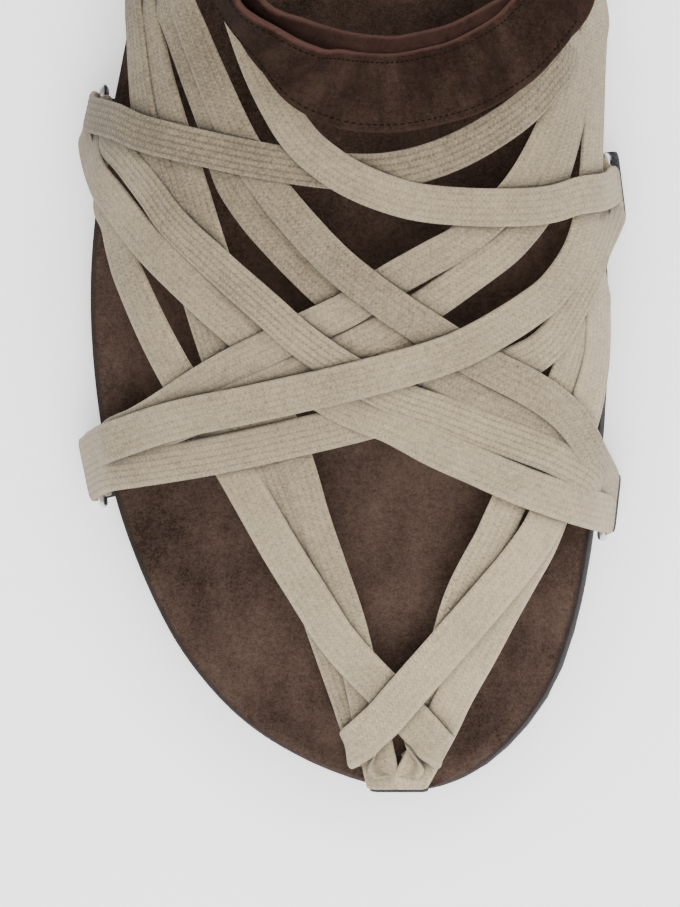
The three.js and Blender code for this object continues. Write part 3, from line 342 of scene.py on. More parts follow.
class Last:
    """The sandal's outline, sole heights and foot form, in millimetres, from the panel's sizes."""

    def __init__(self, sizes):
        self.length = sizes.sole_length / MM
        self.half = sizes.half_width / MM
        self.level = sizes.level / MM
        self.outsole = sizes.outsole / MM
        self.instep = sizes.instep / MM
        self.toe = -self.length / 2
        loop = curve(EDGE * [self.half, self.length] + [0, self.toe], 24, True, 2)
        self.front, self.back = loop[:, 1].min(), loop[:, 1].max()
        loop = np.roll(loop[:-1], -int(loop[:, 1].argmin()), axis=0)
        top = int(loop[:, 1].argmax())
        left, right = loop[: top + 1], np.vstack([loop[top:], loop[:1]])[::-1]
        self.left = left[np.argsort(left[:, 1])]
        self.right = right[np.argsort(right[:, 1])]

    def edge(self, side, y):
        """Where the footbed's edge is across the sole, on the outer (-1) or inner (1) side."""
        branch = self.left if side < 0 else self.right
        return np.interp(y, branch[:, 1], branch[:, 0])

    def along(self, y):
        return (y - self.toe) / self.length

    def spring(self, y):
        """How far the outsole lifts off the floor at the toe and the heel."""
        toe = np.clip(1 - (y - self.toe) / TOE_SPRING_REACH, 0, 1) ** 2 * TOE_SPRING
        heel = np.clip(1 - (self.toe + self.length - y) / HEEL_SPRING_REACH, 0, 1) ** 2 * HEEL_SPRING
        return toe + heel

    def rim(self, y):
        return lookup(SOLE, 1, self.along(y)) + self.spring(y)

    def seam(self, y):
        base = self.spring(y) + self.outsole
        return base + SEAM_SHARE * (self.rim(y) - base)

    def form(self, x, y):
        """Height of the foot form over the footbed level: a superellipse across, the table along."""
        a = self.along(y)
        left = self.edge(-1, y) - FORM_MARGIN - lookup(FORM, 3, a) * self.half
        right = self.edge(1, y) + FORM_MARGIN + lookup(FORM, 2, a) * self.half
        share = np.minimum(0.985, np.abs((x - (left + right) / 2) / ((right - left) / 2)))
        return self.instep * lookup(FORM, 1, a) * (1 - share ** FORM_POWER) ** (1 / FORM_POWER)

    def on_form(self, across, along, offset):
        """Points raised off the foot form by offset that the eye sees at the given shares."""
        want = np.stack([across * self.half, self.toe + along * self.length], -1)
        eye, up, d = EYE[:2], EYE[2] - AIM[2], 0.6
        at = want.copy()
        for _ in range(60):
            x, y = at[:, 0], at[:, 1]
            n = unit(np.stack([self.form(x - d, y) - self.form(x + d, y),
                               self.form(x, y - d) - self.form(x, y + d), np.full_like(x, 2 * d)], -1))
            point = np.stack([x, y, self.level + self.form(x, y)], -1) + n * np.asarray(offset)[:, None]
            seen = eye + (point[:, :2] - eye) * (up / (up - (point[:, 2:] - self.level)))
            at = at + 0.35 * (want - seen)
        return point, n

    def place(self, name):
        """Ring seat: middle of the upper bar, of the lower bar, bar direction, outward direction."""
        side, share = RINGS[name][:2]
        if side == 0:
            y = self.front
            edge = np.array([0.196 * self.half, y, 0])
            bar, out = np.array([1.0, 0, 0]), np.array([0, -1.0, 0])
            lower, upper, over = edge - out * 1.5, edge - out * 2.5, 3.2
        else:
            y = self.toe + share * self.length
            edge, bar, out = self.rim_frame(side, y, 6)
            lower, upper, over = edge + out * 2.7, edge + out * 2.2, 2.2
        lower[2] = self.seam(y) + 1.65
        upper[2] = self.rim(y) + over
        return dict(upper=upper, lower=lower, bar=bar, out=out)

    def rim_frame(self, side, y, reach):
        """A point on the footbed's edge, the edge's direction over the reach, and the way out of it."""
        bar = unit(np.array([float(self.edge(side, y + reach) - self.edge(side, y - reach)), 2 * reach, 0]))
        return np.array([float(self.edge(side, y)), y, 0]), bar, np.array([bar[1], -bar[0], 0]) * side


# Meshes

def make_object(name, verts, faces, material, attributes=None):
    """A smooth object from points in millimetres, with vectors kept at its points by name."""
    mesh = bpy.data.meshes.new(name)
    mesh.from_pydata(((np.asarray(verts) + SHIFT) * MM).tolist(), [], faces)
    for key, values in (attributes or {}).items():
        layer = mesh.attributes.new(key, "FLOAT_VECTOR", "POINT")
        layer.data.foreach_set("vector", np.asarray(values, np.float32).ravel())
    mesh.polygons.foreach_set("use_smooth", np.ones(len(mesh.polygons), bool))
    mesh.validate()
    mesh.update()
    obj = bpy.data.objects.new(name, mesh)
    bpy.context.scene.collection.objects.link(obj)
    mesh.materials.append(material)
    return obj


def tube_faces(rows, ring, closed_rows=False, caps=True):
    """Quads of a tube of rows of ring points, with its two end faces."""
    i = np.arange(rows if closed_rows else rows - 1)[:, None]
    k = np.arange(ring)[None, :]
    a, b = i * ring + k, i * ring + (k + 1) % ring
    c, d = ((i + 1) % rows) * ring + (k + 1) % ring, ((i + 1) % rows) * ring + k
    quads = np.stack([a, b, c, d], -1).reshape(-1, 4).tolist()
    if caps and not closed_rows:
        quads.append(list(range(ring - 1, -1, -1)))
        quads.append(list(range((rows - 1) * ring, rows * ring)))
    return quads


def frames(points, normals):
    """Tangent, side and face direction at each station of a path."""
    tangent = unit(np.gradient(points, axis=0))
    side = unit(np.cross(tangent, normals))
    return tangent, side, np.cross(side, tangent)


def flat_section(width, thick, count, ribs=0.0, pitch=1.15, power=5.0):
    """Closed outline of a flat band: a rounded slab whose two faces carry ribs along its length."""
    half = width / 2
    s = np.cos(np.linspace(np.pi, 0, count))
    body = thick / 2 * (1 - np.abs(s) ** power) ** 0.5
    body += ribs * np.cos(2 * np.pi * s * half / pitch) * (1 - s ** 8)
    top = np.stack([s * half, body], 1)
    low = np.stack([s[::-1] * half, -body[::-1]], 1)[1:-1]
    return np.vstack([top, low])


def band(name, points, normals, section, material, extra=(0.0, 0.0), scale=None, skew=None):
    """A band: the section carried along the path, its flat side square to the face direction."""
    _, side, up = frames(points, normals)
    wide = np.ones(len(points)) if scale is None else scale
    verts = (points[:, None] + side[:, None] * (section[None, :, :1] * wide[:, None, None])
             + up[:, None] * section[None, :, 1:])
    if skew is not None:
        verts = verts + skew[:, None] * section[None, :, :1]
    run = run_along(points)
    rows, ring = len(points), len(section)
    uv = np.zeros((rows, ring, 3))
    uv[:, :, 0] = section[None, :, 0]
    uv[:, :, 1] = run[:, None]
    uv[:, :, 2] = np.sign(section[None, :, 1])
    look = np.zeros((rows, ring, 3))
    look[:, :, 0], look[:, :, 1] = extra
    look[:, :, 2] = (run / run[-1])[:, None]
    return make_object(name, verts.reshape(-1, 3), tube_faces(rows, ring), material,
                       {"weave": uv.reshape(-1, 3), "look": look.reshape(-1, 3)})


def hook(last, end, wire, thick, width):
    """Half turn round a ring's bar, from its top on one face down to its underside."""
    name, slot, face, ply = end
    place = last.place(name)
    radius = wire + HOOK_GAP + thick / 2 + ply * PLY_STEP
    centre = place["upper"] + place["bar"] * slot * (BAR_SPAN - width) / 2
    angle = np.radians(np.array([38, 0, -45, -88]))
    facing = 1 if face >= 0 else -1
    away = np.cos(angle)[:, None] * place["out"] * facing + np.sin(angle)[:, None] * [0, 0, 1.0]
    return centre + away * radius, away * facing


def lace_path(last, name, lace, sizes):
    """A lace's centre line and face directions: hook, route over the foot form, hook or fold."""
    way = curve(np.array(lace["way"]), 16, dims=2)
    picked, _ = even(way * [last.half, last.length, 1], 5.0, 2)
    picked = picked / [last.half, last.length, 1]
    thick, width = sizes.lace_thick / MM, sizes.lace_width / MM
    step = sizes.layer_step / MM
    points, normals = last.on_form(picked[:, 0], picked[:, 1], thick / 2 + picked[:, 2] * step)
    head, head_n = hook(last, lace["a"], sizes.wire / MM, thick, width)
    if name in FOLDS:
        facing, slant, fold = FOLDS[name]
        fold = np.array(fold)
        tail, tail_n = last.on_form(fold[:, 0], fold[:, 1], thick / 2 + fold[:, 2] * step)
        turn = np.array([1.0, 0.2, -0.6, -1.0])[:, None]
        tail_n = tail_n * turn + np.array([facing, 0, 0]) * (1 - np.abs(turn))
    else:
        tail, tail_n = hook(last, lace["b"], sizes.wire / MM, thick, width)
    knots = np.vstack([np.hstack([head, head_n])[::-1], np.hstack([points, normals]),
                       np.hstack([tail, tail_n])])
    path, run = even(curve(knots, 14), 0.8)
    skew = np.zeros((len(path), 3))
    if name in FOLDS:
        ahead = tail[0] - points[-1]
        ahead[2] = 0
        near = np.clip(1 - (run[-1] - run - 4) / 9, 0, 1)[:, None]
        skew = unit(ahead) * slant * smooth_step(near)
    pinch = 1 - (1 - lace.get("pinch", 1.0)) * np.clip(1.6 - 4 * run / run[-1], 0, 1)
    return path[:, :3], unit(path[:, 3:]), pinch, skew


# Materials

class Shader:
    """A short way to write node materials."""

    def __init__(self, name):
        self.material = bpy.data.materials.new(name)
        self.material.use_nodes = True
        self.tree = self.material.node_tree
        self.tree.nodes.clear()
        self.out = self.add("ShaderNodeOutputMaterial")
        self.main = self.add("ShaderNodeBsdfPrincipled")
        self.link(self.main.outputs[0], self.out.inputs["Surface"])

    def add(self, kind, **values):
        node = self.tree.nodes.new(kind)
        for key, value in values.items():
            setattr(node, key, value)
        return node

    def link(self, a, b):
        self.tree.links.new(a, b)

    def put(self, socket, value):
        if isinstance(value, bpy.types.NodeSocket):
            self.link(value, socket)
        else:
            socket.default_value = value

    def math(self, operation, a, b=0.5, c=0.5):
        node = self.add("ShaderNodeMath", operation=operation)
        for socket, value in zip(node.inputs, (a, b, c)):
            self.put(socket, value)
        return node.outputs[0]

    def object_coords(self):
        return self.add("ShaderNodeTexCoord").outputs["Object"]

    def attribute(self, name):
        return self.add("ShaderNodeAttribute", attribute_name=name).outputs["Vector"]

    def split(self, vector):
        node = self.add("ShaderNodeSeparateXYZ")
        self.link(vector, node.inputs[0])
        return node.outputs

    def noise(self, vector, scale, detail=3.0, rough=0.55):
        node = self.add("ShaderNodeTexNoise")
        self.link(vector, node.inputs["Vector"])
        node.inputs["Scale"].default_value = scale
        node.inputs["Detail"].default_value = detail
        node.inputs["Roughness"].default_value = rough
        return node.outputs["Fac"]

    def painted_shade_mask(self, reach, low, high):
        """How open a spot is, as a mask for painted shade: 0 deep in a narrow gap between pieces, 1 where
        nothing is within reach.
        """
        node = self.add("ShaderNodeAmbientOcclusion", samples=6)
        node.inputs["Distance"].default_value = reach * MM
        return self.ramp(node.outputs["AO"], low, high)

    def ramp(self, value, low, high):
        node = self.add("ShaderNodeMapRange")
        self.put(node.inputs["Value"], value)
        node.inputs["From Min"].default_value = low
        node.inputs["From Max"].default_value = high
        return node.outputs[0]

    def mix(self, factor, a, b):
        node = self.add("ShaderNodeMix", data_type="RGBA")
        self.put(node.inputs[0], factor)
        for socket, value in ((node.inputs[6], a), (node.inputs[7], b)):
            self.put(socket, (*value, 1) if isinstance(value, (tuple, list)) else value)
        return node.outputs[2]

    def bump(self, height, distance, strength=1.0, after=None):
        node = self.add("ShaderNodeBump")
        self.put(node.inputs["Height"], height)
        node.inputs["Distance"].default_value = distance * MM
        node.inputs["Strength"].default_value = strength
        if after is not None:
            self.link(after, node.inputs["Normal"])
        return node.outputs[0]

    def done(self, **values):
        for key, value in values.items():
            self.put(self.main.inputs[key.replace("_", " ")], value)
        return self.material


def rgb(value):
    return tuple(float(v) for v in value)


def lace_material(colours):
    """Braided cotton: columns of slanted stitches, a groove between columns, paler edges, and painted shade
    in the grooves, in the gaps where laces meet and across the laces as the light falls.
    """
    s = Shader("lace_cotton")
    place = s.object_coords()
    x, y, _ = s.split(s.attribute("weave"))
    ribs, tone_and_shading, _ = s.split(s.attribute("look"))
    column = s.math("FRACT", s.math("ADD", s.math("DIVIDE", x, RIB_PITCH), 40.0))
    slant = s.math("MULTIPLY", s.math("ABSOLUTE", s.math("SUBTRACT", column, 0.5)), 2.0)
    stitch = s.math("FRACT", s.math("ADD", s.math("DIVIDE", y, YARN_PITCH), s.math("MULTIPLY", slant, 0.6)))
    yarn = s.math("SUBTRACT", 1.0, s.math("ABSOLUTE", s.math("MULTIPLY_ADD", stitch, 2.0, -1.0)))
    groove = s.math("POWER", slant, 3.0)
    depth = s.math("MULTIPLY_ADD", ribs, 0.8, 0.25)
    selvedge = s.ramp(s.math("ABSOLUTE", x), 3.2, 3.6)
    fibre = s.noise(place, 2400, 3, 0.7)
    fluff = s.noise(place, 900, 3, 0.6)
    broad = s.noise(place, 70, 2, 0.5)
    cut = s.math("MULTIPLY", groove, depth)
    height = s.math("SUBTRACT", s.math("MULTIPLY_ADD", fibre, 0.8, yarn), cut)
    # Painted light and shade of the weave: the grooves between columns are darkened and the stitch crests
    # lightened in the colour, on top of the bump.
    shade = s.math("MULTIPLY_ADD", yarn, 0.16, s.math("MULTIPLY", cut, -0.42))
    shade = s.math("ADD", shade, s.math("MULTIPLY", fibre, 1.10))
    shade = s.math("ADD", shade, s.math("MULTIPLY", fluff, 0.75))
    shade = s.math("ADD", shade, s.math("MULTIPLY", broad, 0.45))
    shade = s.math("ADD", shade, s.math("MULTIPLY", tone_and_shading, 0.9))
    shade = s.math("ADD", shade, s.math("MULTIPLY", selvedge, 0.12))
    base = s.mix(s.ramp(shade, 0.98, 2.0), rgb(colours.lace_dark), rgb(colours.lace))
    # Painted shade: the colour sinks towards a near-black of the lace's shade colour in the narrow gaps
    # where laces meet and lie over one another.
    base = s.mix(s.painted_shade_mask(3.0, 0.35, 0.97), tuple(0.22 * v for v in colours.lace_dark), base)
    return s.done(Base_Color=base, Roughness=0.95, Normal=s.bump(height, 0.3, 0.7),
                  Sheen_Weight=0.15, Sheen_Roughness=0.6)


def suede_coat(s, dark, light, patch, span):
    """Nap: broad brushed patches, streaks and fine grain, as a colour and a normal."""
    place = s.object_coords()
    stretch = s.add("ShaderNodeMapping")
    stretch.inputs["Scale"].default_value = (1.0, 0.55, 1.0)
    s.link(place, stretch.inputs["Vector"])
    streak = stretch.outputs[0]
    broad, brushed = s.noise(place, 38, 4, 0.6), s.noise(streak, 170, 5, 0.7)
    nap, grain = s.noise(place, 900, 4, 0.75), s.noise(place, 2300, 2, 0.7)
    f = s.math("MULTIPLY_ADD", broad, 1.0, s.math("MULTIPLY", brushed, 0.6))
    f = s.math("ADD", f, s.math("MULTIPLY", nap, 0.75))
    f = s.math("ADD", f, s.math("MULTIPLY", grain, 0.85))
    height = s.math("MULTIPLY_ADD", nap, 0.7, s.math("MULTIPLY", grain, 0.6))
    return s.mix(s.ramp(f, patch, patch + span), dark, light), height, nap


def suede_material(name, dark, light, wall):
    """Sole suede: the nap above, and the wall's plain colour where the point's look turns down."""
    s = Shader(name)
    base, height, _ = suede_coat(s, dark, light, 1.29, 0.66)
    down, _, _ = s.split(s.attribute("look"))
    base = s.mix(down, base, wall)
    return s.done(Base_Color=base, Roughness=1.0, Normal=s.bump(height, 0.3, 0.7),
                  Specular_IOR_Level=0.1, Sheen_Weight=0.05, Sheen_Roughness=0.5)


def strap_material(colours):
    """Strap suede: mottled nap, pale cut edges and, on the lower layer, a raw reddish margin."""
    s = Shader("strap_suede")
    base, height, nap = suede_coat(s, rgb(colours.strap), rgb(colours.strap_light), 1.24, 0.82)
    stretch = s.add("ShaderNodeMapping")
    stretch.inputs["Scale"].default_value = (0.06, 0.2, 0.0)
    s.link(s.attribute("weave"), stretch.inputs["Vector"])
    rubbed = s.ramp(s.noise(stretch.outputs[0], 1.0, 3, 0.6), 0.42, 0.6)
    base = s.mix(s.math("MULTIPLY", rubbed, 0.5), base, rgb(colours.strap))
    x, _, _ = s.split(s.attribute("weave"))
    raw, heel, _ = s.split(s.attribute("look"))
    across = s.math("MULTIPLY_ADD", nap, 0.5, s.math("ABSOLUTE", x))
    fray = s.math("MULTIPLY", s.ramp(across, 3.6, 4.2), raw)
    margin = tuple(0.45 * v for v in colours.raw)
    base = s.mix(s.math("MULTIPLY", fray, s.ramp(nap, 0.35, 0.6)), base, margin)
    side = s.math("MULTIPLY_ADD", s.ramp(s.math("MULTIPLY", x, heel), -1, 1), 0.7, 0.3)
    edge = s.math("MULTIPLY", s.ramp(across, 7.35, 7.95), side)
    base = s.mix(edge, base, rgb(colours.raw))
    return s.done(Base_Color=base, Roughness=1.0, Normal=s.bump(height, 0.35, 0.8),
                  Specular_IOR_Level=0.05)


def plain_material(name, base, rough, metal=0.0, grain=0.0, shine=0.5):
    """One colour with a fine, slight variation, for rubber, thread and wire."""
    s = Shader(name)
    fine = s.noise(s.object_coords(), 900, 3, 0.6)
    tint = tuple(min(1.0, v * 1.35) for v in base)
    return s.done(Base_Color=s.mix(fine, base, tint), Roughness=rough, Metallic=metal,
                  Specular_IOR_Level=shine, Normal=s.bump(fine, 0.12, grain))


def webbing_material(colours):
    """Plain weave of the tabs: the product of two sines across and along the band."""
    s = Shader("webbing")
    x, y, _ = s.split(s.attribute("weave"))
    a = s.math("SINE", s.math("MULTIPLY", x, 2 * math.pi / 1.1))
    b = s.math("SINE", s.math("MULTIPLY", y, 2 * math.pi / 0.9))
    h = s.math("MULTIPLY", a, b)
    light = tuple(3.0 * v for v in colours.webbing)
    base = s.mix(s.ramp(h, -1, 1), rgb(colours.webbing), light)
    return s.done(Base_Color=base, Roughness=0.85, Normal=s.bump(h, 0.15, 0.6))


# Operators

class Builder:
    """What the sandal's operators share: they build when asked and raise where they can't."""

    bl_options = {"REGISTER", "UNDO"}

    def execute(self, context):
        if "root" not in frame["bodies"]:
            raise RuntimeError("the frame has no root body to ride on")
        scene = context.scene
        self.build(Last(scene.sandal_sizes), scene.sandal_sizes, scene.sandal_colours)
        return {"FINISHED"}


def finish_piece(obj, slot, *nodes):
    """Puts a piece on the sandal's one body, in place of the CAD nodes it dresses; the slot is not used."""
    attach(obj, "root")
    if nodes:
        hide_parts(*nodes)


class SANDAL_OT_laces(Builder, bpy.types.Operator):
    """Flat laces: x and y follow a spline over the foot form, z is the form plus the lace's layer"""

    bl_idname = "sandal.laces"
    bl_label = "Laces"

    def build(self, last, sizes, colours):
        material = lace_material(colours)
        width, thick = sizes.lace_width / MM, sizes.lace_thick / MM
        for name, lace in LACES.items():
            points, normals, pinch, skew = lace_path(last, name, lace, sizes)
            section = flat_section(width * lace["wide"], thick, 27, 0.05 * lace["ribs"], RIB_PITCH)
            share = np.linspace(0, 1, len(points))
            ribs = lace["ribs"] * (1 - lace.get("fade", 0) * share)
            # Painted light: the lightness rises towards the toe and towards the inner side, where the lamps
            # fall more fully, on top of each lace's own value.
            tone_and_shading = lace["tone_and_shading"] + 0.1 * points[:, 0] / last.half - 0.0015 * (points[:, 1] + 60)
            obj = band("lace_" + name, points, normals, section, material,
                       (ribs[:, None], tone_and_shading[:, None]), pinch, skew)
            finish_piece(obj, "lace", "upper_laces")


def sole_surface(last, rows, columns, top, grow=0.0):
    """Grid of a sole face: y runs from toe to heel, x from edge to edge, z from a height rule.

    The height rule is given the share across, the place along and the half width there.
    """
    t = (1 - np.cos(np.linspace(0, np.pi, rows))) / 2
    y = last.front + 0.02 + t * (last.back - last.front - 0.04)
    u = np.sin(np.linspace(-np.pi / 2, np.pi / 2, columns))
    left, right = last.edge(-1, y) - grow, last.edge(1, y) + grow
    x = (left + right)[:, None] / 2 + u[None, :] * (right - left)[:, None] / 2
    yy = np.repeat(y[:, None], columns, 1)
    stretch = (last.length / 2 + grow) / (last.length / 2)
    z = top(u[None, :] * np.ones_like(x), yy, (right - left)[:, None] / 2 * np.ones_like(x))
    return x, yy * stretch, z


def footbed_height(last):
    """The footbed's height rule: rim, less the rounded edge, less the hollow with its arch and toe bar."""
    def top(u, y, half):
        from_side = half * (1 - np.abs(u))
        from_end = np.minimum(y - last.front, last.back - y)
        inward = np.maximum(0, np.minimum(from_side, from_end))
        short = np.clip(1 - inward / RIM_ROUND, 0, 1)
        drop = RIM_ROUND * (1 - np.sqrt(np.maximum(0, 1 - short ** 2)))
        a = last.along(y)
        smooth = smooth_step(np.clip((inward - 3.4) / 9, 0, 1))
        shape = np.maximum(0, u) ** 2 * (1 - np.maximum(0, u) ** 6)
        bar = 1.2 * np.exp(-(((a - 0.235) / 0.03) ** 2)) * (1 - u * u)
        hollow = lookup(SOLE, 2, a) - lookup(SOLE, 3, a) * shape * 1.6 - bar
        return last.rim(y) - drop - smooth * hollow
    return top


def slab_object(name, last, rows, columns, top, under, material, grow=0.0, bulge=0.0, layers=6):
    """A sole piece: its top grid, a side wall bulging by half a sine of the height, and its underside."""
    x, y, z = sole_surface(last, rows, columns, top, grow)
    verts = np.stack([x, y, z], -1).reshape(-1, 3)
    a = np.arange(rows - 1)[:, None] * columns + np.arange(columns - 1)[None, :]
    faces = np.stack([a, a + 1, a + columns + 1, a + columns], -1).reshape(-1, 4).tolist()
    index = np.arange(rows * columns).reshape(rows, columns)
    loop = np.concatenate([index[0], index[1:, -1], index[-1, -2::-1], index[-2:0:-1, 0]])
    border = verts[loop]
    floor_z = under(border[:, 1])
    low = np.stack([x, y, under(y)], -1).reshape(-1, 3)
    along = np.roll(border, -1, 0) - np.roll(border, 1, 0)
    out = unit(np.stack([along[:, 1], -along[:, 0], np.zeros(len(along))], 1))
    t = np.linspace(0, 1, layers + 1)[1:-1, None]
    wall = border[None] + out[None] * (bulge * np.sin(np.pi * t))[..., None]
    wall[..., 2] = border[None, :, 2] + (floor_z - border[:, 2])[None] * t
    count, start = len(loop), len(verts)
    base = start + (layers - 1) * count
    verts = np.vstack([verts, wall.reshape(-1, 3), low])
    ids = np.vstack([loop, start + np.arange((layers - 1) * count).reshape(layers - 1, count), base + loop])
    nxt = np.roll(ids, -1, 1)
    faces += np.stack([ids[:-1], ids[1:], nxt[1:], nxt[:-1]], -1).reshape(-1, 4).tolist()
    faces += (base + np.stack([a, a + columns, a + columns + 1, a + 1], -1)).reshape(-1, 4).tolist()
    look = np.ones((len(verts), 3))
    left, right = last.edge(-1, y), last.edge(1, y)
    inward = np.minimum((right - left) / 2 - np.abs(x - (right + left) / 2), (y - last.front) * 0.6 + 0.2)
    look[:start, 0] = np.clip(1.15 - inward / 1.3, 0, 1).ravel()
    return make_object(name, verts, faces, material, {"look": look})


class SANDAL_OT_footbed(Builder, bpy.types.Operator):
    """Footbed: rim height, less a quarter round at the edge, less the hollow, arch and toe bar"""

    bl_idname = "sandal.footbed"
    bl_label = "Footbed"

    def build(self, last, sizes, colours):
        suede = suede_material("footbed_suede", rgb(colours.suede), rgb(colours.suede_light),
                               rgb(colours.side))
        obj = slab_object("footbed_suede", last, 180, 120, footbed_height(last),
                          lambda y: last.seam(y) + 0.15, suede, 0.0, 0.25)
        finish_piece(obj, "suede", "footbed")


class SANDAL_OT_sole(Builder, bpy.types.Operator):
    """Sole side and outsole: the footbed's outline dropped to the floor, with toe and heel spring"""

    bl_idname = "sandal.sole"
    bl_label = "Sole"

    def build(self, last, sizes, colours):
        side = suede_material("side_suede", rgb(colours.side), tuple(1.6 * v for v in colours.side),
                              rgb(colours.side))
        obj = slab_object("midsole_side", last, 120, 12, lambda u, y, half: last.seam(y) - 0.15,
                          lambda y: last.spring(y) + last.outsole + 0.1, side, -0.1, 0.35)
        finish_piece(obj, "sole_side", "midsole")
        rubber = plain_material("rubber", rgb(colours.rubber), 0.8, 0.0, 0.5, shine=0.2)
        node = frame["nodes"]["outsole"]
        node.data.materials.clear()
        node.data.materials.append(rubber)


class SANDAL_OT_straps(Builder, bpy.types.Operator):
    """Straps: a band along a spline over the foot form, stood on edge by its turn, its end in the sole"""

    bl_idname = "sandal.straps"
    bl_label = "Straps"

    def build(self, last, sizes, colours):
        material = strap_material(colours)
        thread = plain_material("thread", rgb(colours.thread), 0.95, shine=0.1)
        width, thick = sizes.strap_width / MM, sizes.strap_thick / MM
        for name, strap in STRAPS.items():
            side, y = strap["side"], last.toe + strap["along"] * last.length
            edge, _, out = last.rim_frame(side, y, 8)
            seam, rim = float(last.seam(y)), float(last.rim(y))
            # Out of the seam and up the wall: distance out, height, and how far the band stands up.
            rows = np.array([[-6, seam, 0], [-2, seam, 0], [0.6, seam, 0], [1.8, seam + 1.4, 0.5],
                             [2.0, seam + 3.6, 1], [2.0, rim + 1, 1]])
            start = edge + out * rows[:, :1] + np.array([0, 0, 1.0]) * rows[:, 1:2]
            start_n = np.array([0, 0, -1.0]) * (1 - rows[:, 2:]) + out * rows[:, 2:]
            way = np.array(strap["way"])
            layer = STRAP_LAYER + (OUTER_LIFT / STRAP_STEP if name == "strap_outer" else 0)
            turn = -side * np.radians(way[:, 3:])
            raised = STRAP_GAP + (layer + way[:, 2]) * STRAP_STEP + width / 2 * np.abs(np.sin(turn[:, 0]))
            points, normals = last.on_form(way[:, 0], way[:, 1], raised)
            knots = np.vstack([np.hstack([start, start_n, np.zeros((len(start), 1))]),
                               np.hstack([points, normals, turn])])
            path, run = even(curve(knots, 20), 0.7)
            pts, turn = path[:, :3], path[:, 6:]
            _, across, up = frames(pts, path[:, 3:6])
            nrm = up * np.cos(turn) + across * np.sin(turn)
            left = run[-1] - run
            corner = width * 0.48
            lost = corner - np.sqrt(np.maximum(0, corner ** 2 - (corner - left) ** 2))
            scale = 1 - np.where(left < corner, lost, 0) / (width / 2)
            section = flat_section(width, thick, 33, 0.0, power=10)
            groove = np.exp(-((np.abs(section[:, 0]) - (width / 2 - SEAM_INSET)) / 0.4) ** 2)
            section[:, 1] *= 1 - 0.16 * groove
            obj = band(name + "_suede", pts, nrm, section, material,
                       (1.0 if side > 0 else 0.0, side), scale)
            finish_piece(obj, "strap", name)
            if name == "strap_outer":
                self.stitches(pts, nrm, run, width, thick, thread)

    def stitches(self, pts, nrm, run, width, thick, thread):
        """Stitches: short rounded bars at an even pitch along both edges of the strap."""
        _, side, up = frames(pts, nrm)
        at = np.arange(14, run[-1] - 3, STITCH_PITCH)
        angle = np.linspace(0, 2 * np.pi, 6, endpoint=False)[None, None, :, None]
        radius = (np.array([0.35, 1, 1, 0.35]) * STITCH_RADIUS)[None, :, None, None]
        s = at[:, None] + np.array([-1, -0.7, 0.7, 1])[None, :] * STITCH_LENGTH / 2
        middle, wide, high = (np.stack([np.interp(s, run, rows[:, c]) for c in range(3)], -1)
                              for rows in (pts, side, up))
        one = np.array(tube_faces(4, 6, caps=False))
        verts, faces = [], []
        for row, edge in enumerate((-1, 1)):
            centre = middle + wide * edge * (width / 2 - SEAM_INSET) + high * (thick / 2 - 0.13)
            ring = (centre[:, :, None] + wide[:, :, None] * (np.cos(angle) * radius)
                    + high[:, :, None] * (np.sin(angle) * radius))
            verts.append(ring.reshape(-1, 3))
            base = (row * len(at) + np.arange(len(at)))[:, None, None] * 24
            faces += (one[None] + base).reshape(-1, 4).tolist()
        obj = make_object("strap_stitches", np.vstack(verts), faces, thread)
        finish_piece(obj, "strap")


class SANDAL_OT_rings(Builder, bpy.types.Operator):
    """Rings and tabs: wire along an oblong with round corners, and a woven tab round its lower bar"""

    bl_idname = "sandal.rings"
    bl_label = "Rings and tabs"

    def build(self, last, sizes, colours):
        metal = plain_material("ring_metal", rgb(colours.metal), 0.28, 1.0)
        web = webbing_material(colours)
        wire = sizes.wire / MM
        for name in RINGS:
            place = last.place(name)
            rise = place["upper"] - place["lower"]
            high, up = np.linalg.norm(rise), unit(rise)
            flat = np.cross(place["bar"], up)
            angle = np.linspace(0, np.pi / 2, 10)
            corners = np.repeat(np.array([[1, 0], [1, 1], [-1, 1], [-1, 0]]), 10, 0)
            a = ((np.arange(4) - 1)[:, None] * np.pi / 2 + angle[None, :]).ravel()
            half, tab, shift = RINGS[name][2:]
            px = corners[:, 0] * (half - wire - RING_CORNER) + np.cos(a) * RING_CORNER
            py = np.where(corners[:, 1] > 0, high - RING_CORNER, RING_CORNER) + np.sin(a) * RING_CORNER
            loop = place["lower"] + place["bar"] * px[:, None] + up * py[:, None]
            side = np.cross(unit(np.roll(loop, -1, 0) - np.roll(loop, 1, 0)), flat)
            k = np.linspace(0, 2 * np.pi, 12, endpoint=False)[None, :, None]
            verts = loop[:, None] + side[:, None] * np.cos(k) * wire + flat * np.sin(k) * wire
            obj = make_object("wire_" + name, verts.reshape(-1, 3), tube_faces(len(loop), 12, True), metal)
            finish_piece(obj, "ring", "ring_" + name)
            radius = wire + TAB_GAP + TAB_THICK / 2
            t = -np.pi / 2 + np.linspace(0, 1, 22) * np.pi * 1.12
            local = np.vstack([[[-TAB_TONGUE, -radius], [-4, -radius], [-1.8, -radius]],
                               np.stack([np.cos(t), np.sin(t)], 1) * radius])
            pts = place["lower"] + place["bar"] * shift + place["out"] * local[:, :1]
            pts = pts + np.array([0, 0, 1.0]) * local[:, 1:]
            obj = band("web_" + name, pts, np.cross(np.gradient(pts, axis=0), place["bar"]),
                       flat_section(tab, TAB_THICK, 15, 0.0, power=10), web)
            finish_piece(obj, "webbing", "tab_" + name)


